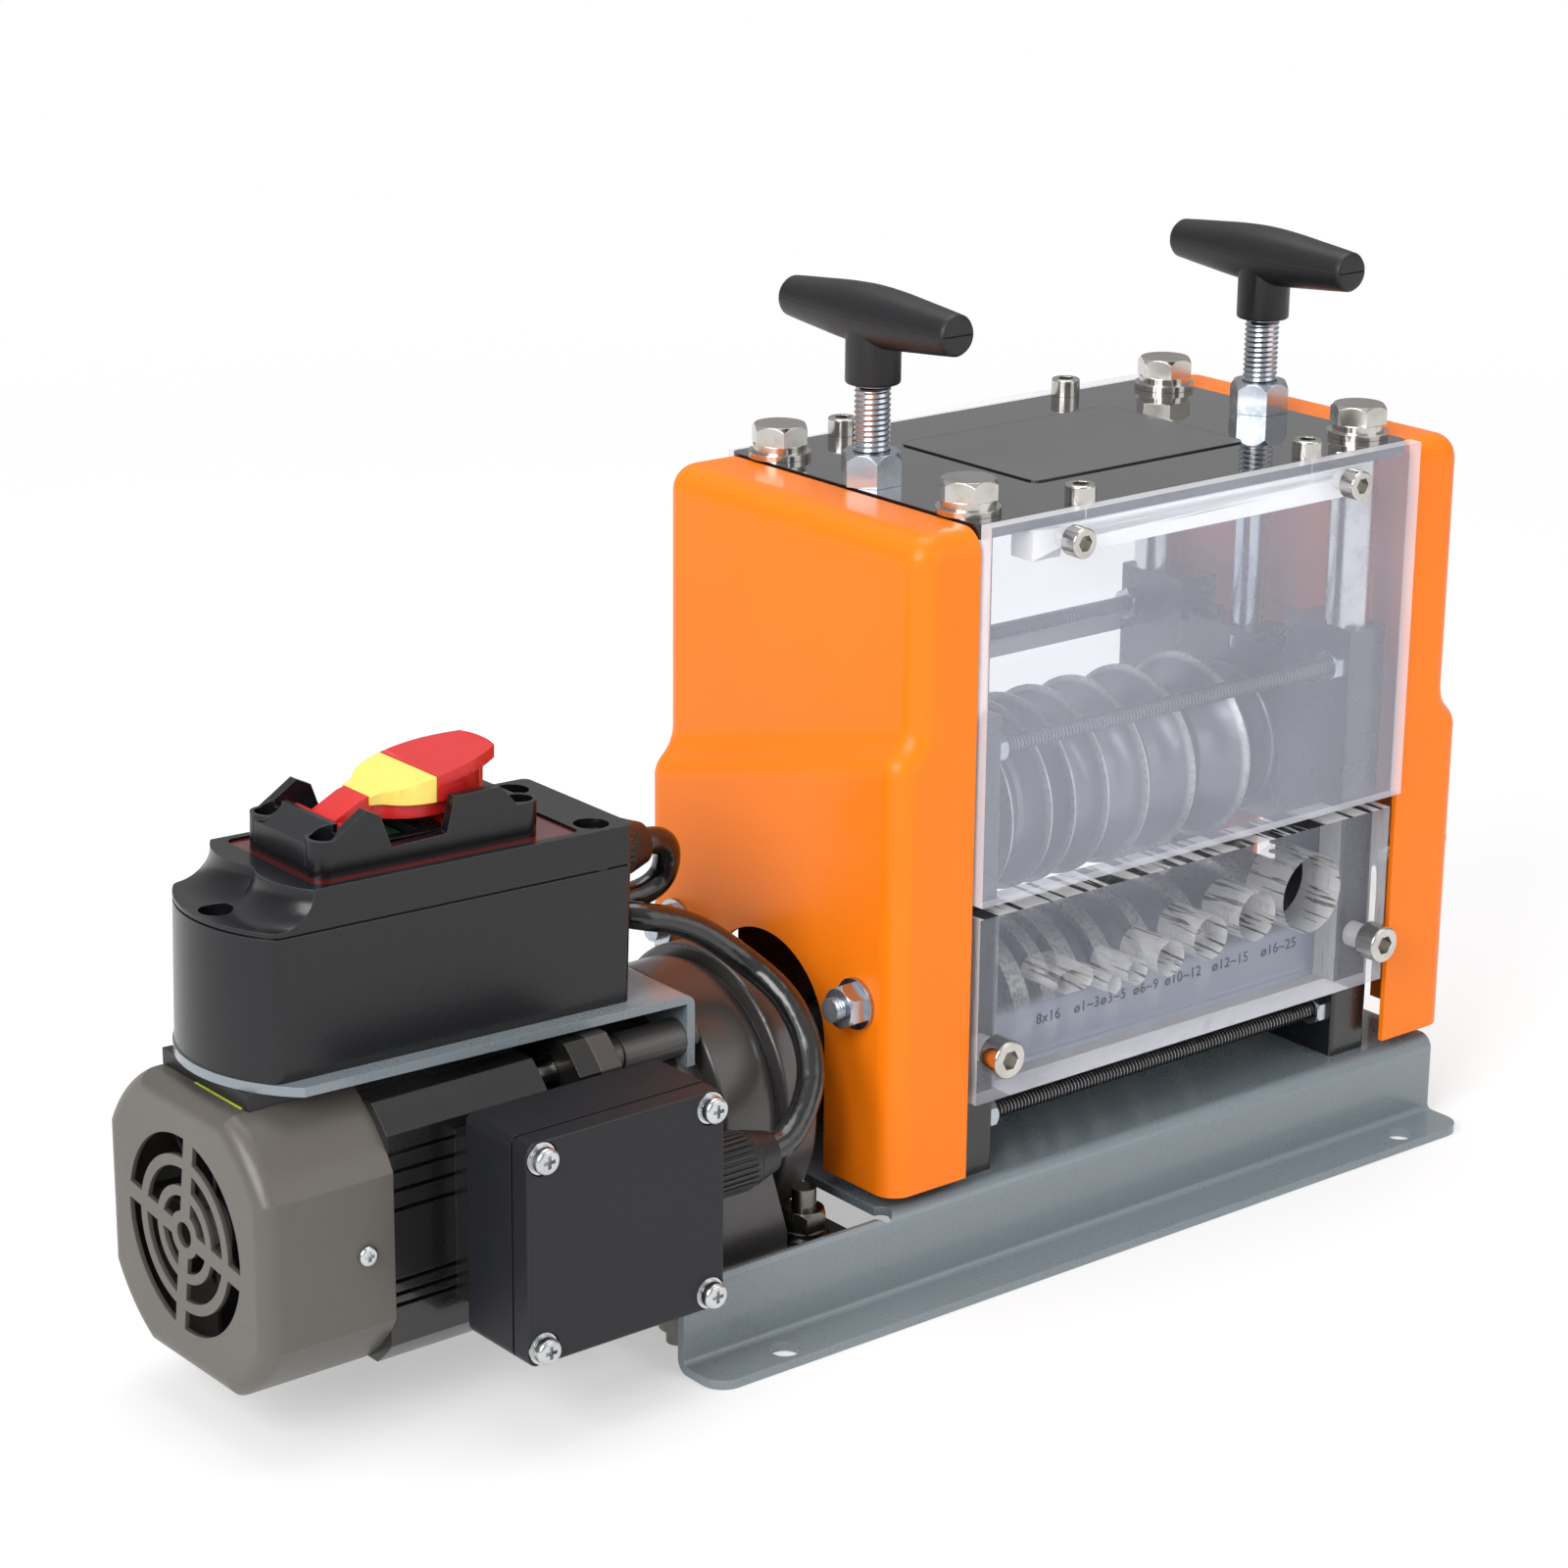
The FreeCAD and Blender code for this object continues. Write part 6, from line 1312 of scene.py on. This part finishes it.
@dataclass
class GuideBlock:
    """Clear entry block, its cable holes, its sawn lower edge and the size marks at its rear face."""

    left: float = -52.9
    right: float = 136.9
    inner: tuple[float, float] = (-37.6, 121.6)
    face: float = -65.35
    ear: float = 8.0
    thick: float = 18.0
    low: float = 59.5
    high: float = 123.2
    slot: tuple[float, float, float, float] = (-10.3, 16.0, 93.2, 8.0)
    holes: tuple[tuple[float, float, float], ...] = (
        (7.2, 6.5, 87.3), (17.8, 9.0, 89.4), (33.0, 12.5, 90.7), (51.6, 15.5, 93.8), (73.4, 17.5, 96.7),
        (99.8, 28.0, 99.1),
    )
    screw_reach: float = 87.5
    screw_height: float = 76.0
    screw_bore: float = 4.5
    marks: tuple[tuple[str, float], ...] = (
        ("8x16", -5.3), ("\u00f81~3", 12.2), ("\u00f83~5", 24.4), ("\u00f86~9", 39.5), ("\u00f810~12", 57.1),
        ("\u00f812~15", 79.8), ("\u00f816~25", 103.5),
    )
    mark_height: float = 3.8
    mark_line: float = 73.6
    saw_lines: tuple[tuple[float, float], ...] = ((60.0, 61.1), (62.3, 63.5))
    sawn_depth: float = 12.5

    def bore(self, x: float, width: float, z: float) -> Workpiece:
        """Round cutter through the block."""
        return Workpiece.rod("bore", width / 2 * MM, mm(x, self.face - 1, z), mm(x, self.face + 30, z), 72)

    def build(self, palette: Palette) -> None:
        """Model the block, finish each kind of face, and set the saw lines and the marks."""
        back = self.face + self.thick
        block = Workpiece.block(
            "guide_acrylic_block", mm(self.left, self.face, self.low), mm(self.right, self.face + self.ear, self.high)
        )
        block.fuse(Workpiece.block("guide_inner", mm(self.inner[0], self.face, self.low),
                                   mm(self.inner[1], back, self.high)))
        x, width, z, tall = self.slot
        half = (width - tall) / 2
        start, end = self.face - 1, back + 9
        slot = Workpiece.rod("slot_left", tall / 2 * MM, mm(x - half, start, z), mm(x - half, end, z), 48)
        slot.fuse(
            Workpiece.rod("slot_right", tall / 2 * MM, mm(x + half, start, z), mm(x + half, end, z), 48),
            Workpiece.block("slot_middle", mm(x - half, start, z - tall / 2), mm(x + half, end, z + tall / 2)),
        )
        block.cut(slot, *(self.bore(*hole) for hole in self.holes))
        middle = (self.left + self.right) / 2
        block.cut(*(
            self.bore(middle + side * self.screw_reach, 2 * self.screw_bore, self.screw_height) for side in (-1, 1)
        ))
        block.ease(0.5 * MM, 2, 60.0)
        block.dress(*(palette.of(finish) for finish in (BLOCK, BORE, TOP_CUT, SIDE_CUT, BLOCK_BACK)))
        high = (self.high - 0.3) * MM
        inside = (self.low + 2) * MM, (self.high - 2) * MM
        # Bore walls and top face: painted reflection streaks over cut marks; the rear face below 84 mm: painted
        # shade.
        block.paint(1, lambda at, way: abs(way.y) < 0.2 and inside[0] < at.z < inside[1]
                    and (self.inner[0] + 2) * MM < at.x < (self.inner[1] - 2) * MM)
        block.paint(2, lambda at, way: way.z > 0.9 and at.z > high)
        block.paint(3, lambda at, way: abs(way.x) > 0.99)
        block.paint(4, lambda at, way: way.y > 0.99 and at.y > (back - 1) * MM)
        block.smooth(40.0).mount("base", "clear", "guide_block")
        lines = Workpiece.block(
            "sawn_lines", mm(self.inner[0], self.face + 0.6, self.low - 0.12),
            mm(self.inner[1], self.face + self.sawn_depth, self.low - 0.02),
        )
        for low, top in self.saw_lines:
            lines.join(Workpiece.block("saw_line", mm(self.inner[0] + 4, back + 0.02, low),
                                       mm(self.inner[1] - 4, back + 0.1, top)))
        lines.ease(0.02 * MM, 1).dress(palette.of(SAWN)).mount("base", "clear")
        turn = Matrix.Rotation(math.pi / 2, 4, "X")
        words = [
            Workpiece.lettered(f"mark_{index}", text, self.mark_height * MM,
                               mm(place, back - 0.15, self.mark_line), turn, 0.06 * MM)
            for index, (text, place) in enumerate(self.marks)
        ]
        words[0].join(*words[1:]).dress(palette.of(INK)).mount("base", "clear")


@dataclass
class Panels:
    """Clear panels before and behind the blades."""

    middle: float = 42.0
    half: float = 96.8
    face: float = 68.15
    thick: float = 5.0
    low: float = 128.3
    high: float = 253.0
    screw_reach: float = 62.6
    screw_height: float = 243.9
    screw_bore: float = 3.25

    def build(self, palette: Palette) -> None:
        """Model the front panel with polished edges and turn a copy round for the back."""
        x = self.middle
        panel = Workpiece.block(
            "clear_panel_front", mm(x - self.half, -self.face, self.low),
            mm(x + self.half, self.thick - self.face, self.high),
        )
        for side in (-1, 1):
            place = x + side * self.screw_reach
            panel.cut(Workpiece.rod(
                "panel_bore", self.screw_bore * MM, mm(place, -self.face - 1, self.screw_height),
                mm(place, -self.face + 9, self.screw_height), 48,
            ))
        panel.ease(0.5 * MM, 3, 60.0).smooth(40.0).dress(palette.of(PANEL))
        turn = Matrix.Translation(mm(x, 0, 0)) @ Matrix.Rotation(math.pi, 4, "Z") @ Matrix.Translation(mm(-x, 0, 0))
        rear = panel.copy("clear_panel_rear", turn)
        panel.mount("base", "clear", "front_panel")
        rear.smooth(40.0).mount("base", "clear", "rear_panel")


@dataclass
class Rolls:
    """Hollow ground cutter discs and the grooved feed roller below them."""

    grooves: tuple[float, ...] = (-10.3, 7.2, 17.8, 33.0, 51.6, 73.4, 99.8)
    lips: tuple[float, ...] = (-21.0, 0.0, 12.5, 24.5, 41.0, 61.0, 85.0, 117.0)
    lip_widths: tuple[float, ...] = (5.0, 7.4, 5.6, 7.6, 6.8, 6.0, 6.0, 7.0)
    bore: float = 10.05
    blade_height: float = 137.0
    blade: float = 33.0
    root: float = 24.0
    land: float = 0.35
    collar: tuple[float, float] = (117.0, 119.4)
    collar_radius: float = 27.0
    feed_height: float = 62.0
    feed: float = 30.0
    floor: float = 23.0

    def cutter(self, index: int) -> Workpiece:
        """One disc over a cable groove, hollow ground on both sides."""
        left, right, x = self.lips[index], self.lips[index + 1], self.grooves[index]
        if index == 0:
            left += 2.0
        rise = self.blade - self.root
        side = [(0.0, 0.0), (0.3, 0.05), (0.55, 0.22), (0.78, 0.52), (0.92, 0.82), (1.0, 1.0)]
        rising = [(left + (x - self.land - left) * share, self.root + rise * lift) for share, lift in side]
        falling = [
            (right - (right - x - self.land) * share, self.root + rise * lift) for share, lift in reversed(side)
        ]
        profile = [(left, self.bore), *rising, *falling, (right, self.bore)]
        return Workpiece.spun(
            f"cutter_disc_{index + 1}", [(along * MM, reach * MM) for along, reach in profile],
            mm(0.0, 0.0, self.blade_height), Axis.X, 128,
        )

    def roller(self) -> Workpiece:
        """Roller with a lip between every two grooves."""
        start, stop = self.lips[0] - self.lip_widths[0] / 2, self.lips[-1] + self.lip_widths[-1] / 2
        profile = [(start, self.bore), (start, self.feed - 0.4), (start + 0.4, self.feed)]
        for index in range(len(self.grooves)):
            low = self.lips[index] + self.lip_widths[index] / 2
            high = self.lips[index + 1] - self.lip_widths[index + 1] / 2
            deep = min(self.feed - self.floor, (high - low) / 2)
            profile.append((low, self.feed))
            for step in range(9):
                angle = math.pi * step / 8
                middle = (low + high) / 2 - math.cos(angle) * (high - low) / 2
                profile.append((middle, self.floor + deep * 0.9 * (1 - math.sin(angle) ** 0.7)))
            profile.append((high, self.feed))
        profile += [(stop - 0.4, self.feed), (stop, self.feed - 0.4), (stop, self.bore)]
        return Workpiece.spun(
            "feed_roll", [(along * MM, reach * MM) for along, reach in profile],
            mm(0.0, 0.0, self.feed_height), Axis.X, 128,
        )

    def build(self, palette: Palette) -> None:
        """Spin the discs and the roller and mount them."""
        for index in range(len(self.grooves)):
            disc = self.cutter(index).smooth(28.0).dress(palette.of(CUTTER))
            disc.mount("cutter", "tool_steel", "cutter_discs")
        start, stop = self.collar
        profile = (
            (start, self.bore), (start, self.collar_radius - 0.6), (start + 0.6, self.collar_radius),
            (stop - 0.6, self.collar_radius), (stop, self.collar_radius - 0.6), (stop, self.bore),
        )
        end = Workpiece.spun(
            "cutter_collar", [(along * MM, reach * MM) for along, reach in profile],
            mm(0.0, 0.0, self.blade_height), Axis.X, 96,
        )
        end.smooth(28.0).dress(palette.of(CUTTER)).mount("cutter", "tool_steel", "cutter_discs")
        self.roller().smooth(32.0).dress(palette.of(ROLLER)).mount("drive", "bright_steel", "feed_roller")


@dataclass
class BareSheets:
    """Blank sheets on the fan cover."""

    sink: float = 0.05
    rise: float = 0.25
    easing: float = 0.1
    strip: tuple[tuple[float, float], tuple[float, float]] = ((-299.4, 6.0), (-283.0, 23.0))
    sheet: tuple[tuple[float, float], tuple[float, float]] = ((-300.6, -21.0), (-280.0, 5.0))

    def build(self, palette: Palette, cover: tuple[Vector, Vector]) -> None:
        """Lay the sheets on the top of the fan cover.

        Args:
            palette: the finishes.
            cover: the lowest and highest corner of the fan cover.
        """
        top = cover[1].z / MM
        for name, (low, high), finish in (("bare_strip", self.strip, STRIP), ("bare_sheet", self.sheet, LIME)):
            piece = Workpiece.block(name, mm(*low, top - self.sink), mm(*high, top + self.rise))
            piece.ease(self.easing * MM, 2).smooth().dress(palette.of(finish)).mount("base", "motor_black")


@dataclass
class Studio:
    """Pale floor, soft lamps and the camera."""

    azimuth: float = math.radians(-39.1)
    elevation: float = math.radians(18.05)
    roll: float = math.radians(0.53)
    stand: Point = (-859.5, -957.95, 560.0)
    lens: float = 92.09
    lamps: tuple[tuple[str, Point, float, float], ...] = (
        ("key_lamp", (-1900.0, -700.0, 1250.0), 1.3, 40.0),
        ("fill_lamp", (900.0, -2100.0, 1000.0), 1.7, 12.0),
        ("top_lamp", (200.0, 300.0, 2200.0), 1.6, 24.0),
    )
    target: Point = (0.0, 0.0, 120.0)
    floor_size: float = 30.0
    floor_lift: float = 0.45

    def place_camera(self) -> None:
        """Stand the camera where the photograph was taken from."""
        turn, tilt = self.azimuth, self.elevation
        back = Vector((math.sin(turn) * math.cos(tilt), -math.cos(turn) * math.cos(tilt), math.sin(tilt)))
        right = Vector((math.cos(turn), math.sin(turn), 0.0))
        up = back.cross(right)
        rolled_right = right * math.cos(self.roll) + up * math.sin(self.roll)
        rolled_up = up * math.cos(self.roll) - right * math.sin(self.roll)
        data = bpy.data.cameras.new("camera")
        data.lens = self.lens
        data.sensor_width = 36.0
        data.clip_end = 100.0
        camera = bpy.data.objects.new("camera", data)
        bpy.context.collection.objects.link(camera)
        pose = Matrix((rolled_right, rolled_up, back)).transposed().to_4x4()
        pose.translation = mm(*self.stand)
        camera.matrix_world = pose
        bpy.context.scene.camera = camera

    def hang_lamps(self) -> None:
        """Hang the soft boxes, all turned to the machine."""
        for name, place, size, power in self.lamps:
            data = bpy.data.lights.new(name, "AREA")
            data.shape = "SQUARE"
            data.size = size
            data.energy = power
            lamp = bpy.data.objects.new(name, data)
            bpy.context.collection.objects.link(lamp)
            lamp.location = mm(*place)
            lamp.rotation_euler = (lamp.location - mm(*self.target)).to_track_quat("Z", "Y").to_euler()
            lamp.visible_camera = False

    def fill_world(self) -> None:
        """Light from all round, brighter above than at the skyline, and white where it is seen."""
        world = bpy.data.worlds.new("studio_world")
        world.use_nodes = True
        tree = world.node_tree
        light = tree.nodes["Background"]
        light.inputs["Color"].default_value = (1.0, 1.0, 1.0, 1.0)
        place = tree.nodes.new("ShaderNodeTexCoord")
        split = tree.nodes.new("ShaderNodeSeparateXYZ")
        tree.links.new(place.outputs["Generated"], split.inputs[0])
        sky = tree.nodes.new("ShaderNodeMapRange")
        sky.interpolation_type = "SMOOTHSTEP"
        tree.links.new(split.outputs[2], sky.inputs["Value"])
        for key, value in (("From Min", -0.1), ("From Max", 0.9), ("To Min", 0.3), ("To Max", 0.65)):
            sky.inputs[key].default_value = value
        rays = tree.nodes.new("ShaderNodeLightPath")
        seen = tree.nodes.new("ShaderNodeMath")
        seen.operation = "MAXIMUM"
        tree.links.new(rays.outputs["Is Camera Ray"], seen.inputs[0])
        tree.links.new(rays.outputs["Is Transmission Ray"], seen.inputs[1])
        level = tree.nodes.new("ShaderNodeMapRange")
        tree.links.new(seen.outputs[0], level.inputs["Value"])
        tree.links.new(sky.outputs["Result"], level.inputs["To Min"])
        level.inputs["To Max"].default_value = 1.0
        tree.links.new(level.outputs["Result"], light.inputs["Strength"])
        bpy.context.scene.world = world

    def lay_floor(self) -> None:
        """Pale floor under the machine that fades into the white background."""
        Workpiece.clear()
        bpy.ops.mesh.primitive_plane_add(size=self.floor_size, location=(0.0, 0.0, -0.0002))
        floor = bpy.context.object
        floor.name = "studio_floor"
        graph = Graph("floor_white")
        along, across, _ = graph.apart()
        reach = (along * along + across * across).math("SQRT")
        far = reach.step(0.4, 1.5) * (1.0 - self.floor_lift) + self.floor_lift
        glow = graph.node("ShaderNodeEmission", None, {"Color": (1.0, 1.0, 1.0), "Strength": 1.0}).outputs[0]
        rays = graph.node("ShaderNodeLightPath")
        seen = Value(graph, rays.outputs["Is Camera Ray"])
        for ray in ("Is Glossy Ray", "Is Transmission Ray"):
            seen = seen.math("MAXIMUM", Value(graph, rays.outputs[ray]))
        mixed = graph.node("ShaderNodeMixShader", None, {0: far * seen, 1: graph.shader.outputs[0], 2: glow})
        output = graph.tree.nodes["Material Output"]
        graph.tree.links.new(mixed.outputs[0], output.inputs["Surface"])
        floor.data.materials.append(graph.finish(Base_Color=(0.9, 0.9, 0.9), Roughness=0.9))


def main() -> None:
    """Load the construction, dress it and set the stage."""
    logging.basicConfig(level=logging.INFO, format="%(name)s: %(message)s")
    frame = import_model()
    scene = bpy.context.scene
    scene.view_settings.view_transform = "Standard"
    studio = Studio()
    studio.place_camera()
    studio.hang_lamps()
    studio.fill_world()
    palette = Palette()
    palette.dress_nodes(frame["nodes"])
    LinkCable().build(palette)
    StopFlap().build(palette)
    PressScrews().build(palette)
    Grips().build(palette)
    TieRods().build(palette)
    LiftSprings().build(palette, frame["nodes"]["lift_springs"])
    GuideBlock().build(palette)
    Panels().build(palette)
    Rolls().build(palette)
    BareSheets().build(palette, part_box("fan_cover"))
    studio.lay_floor()


if __name__ == "__main__":
    main()
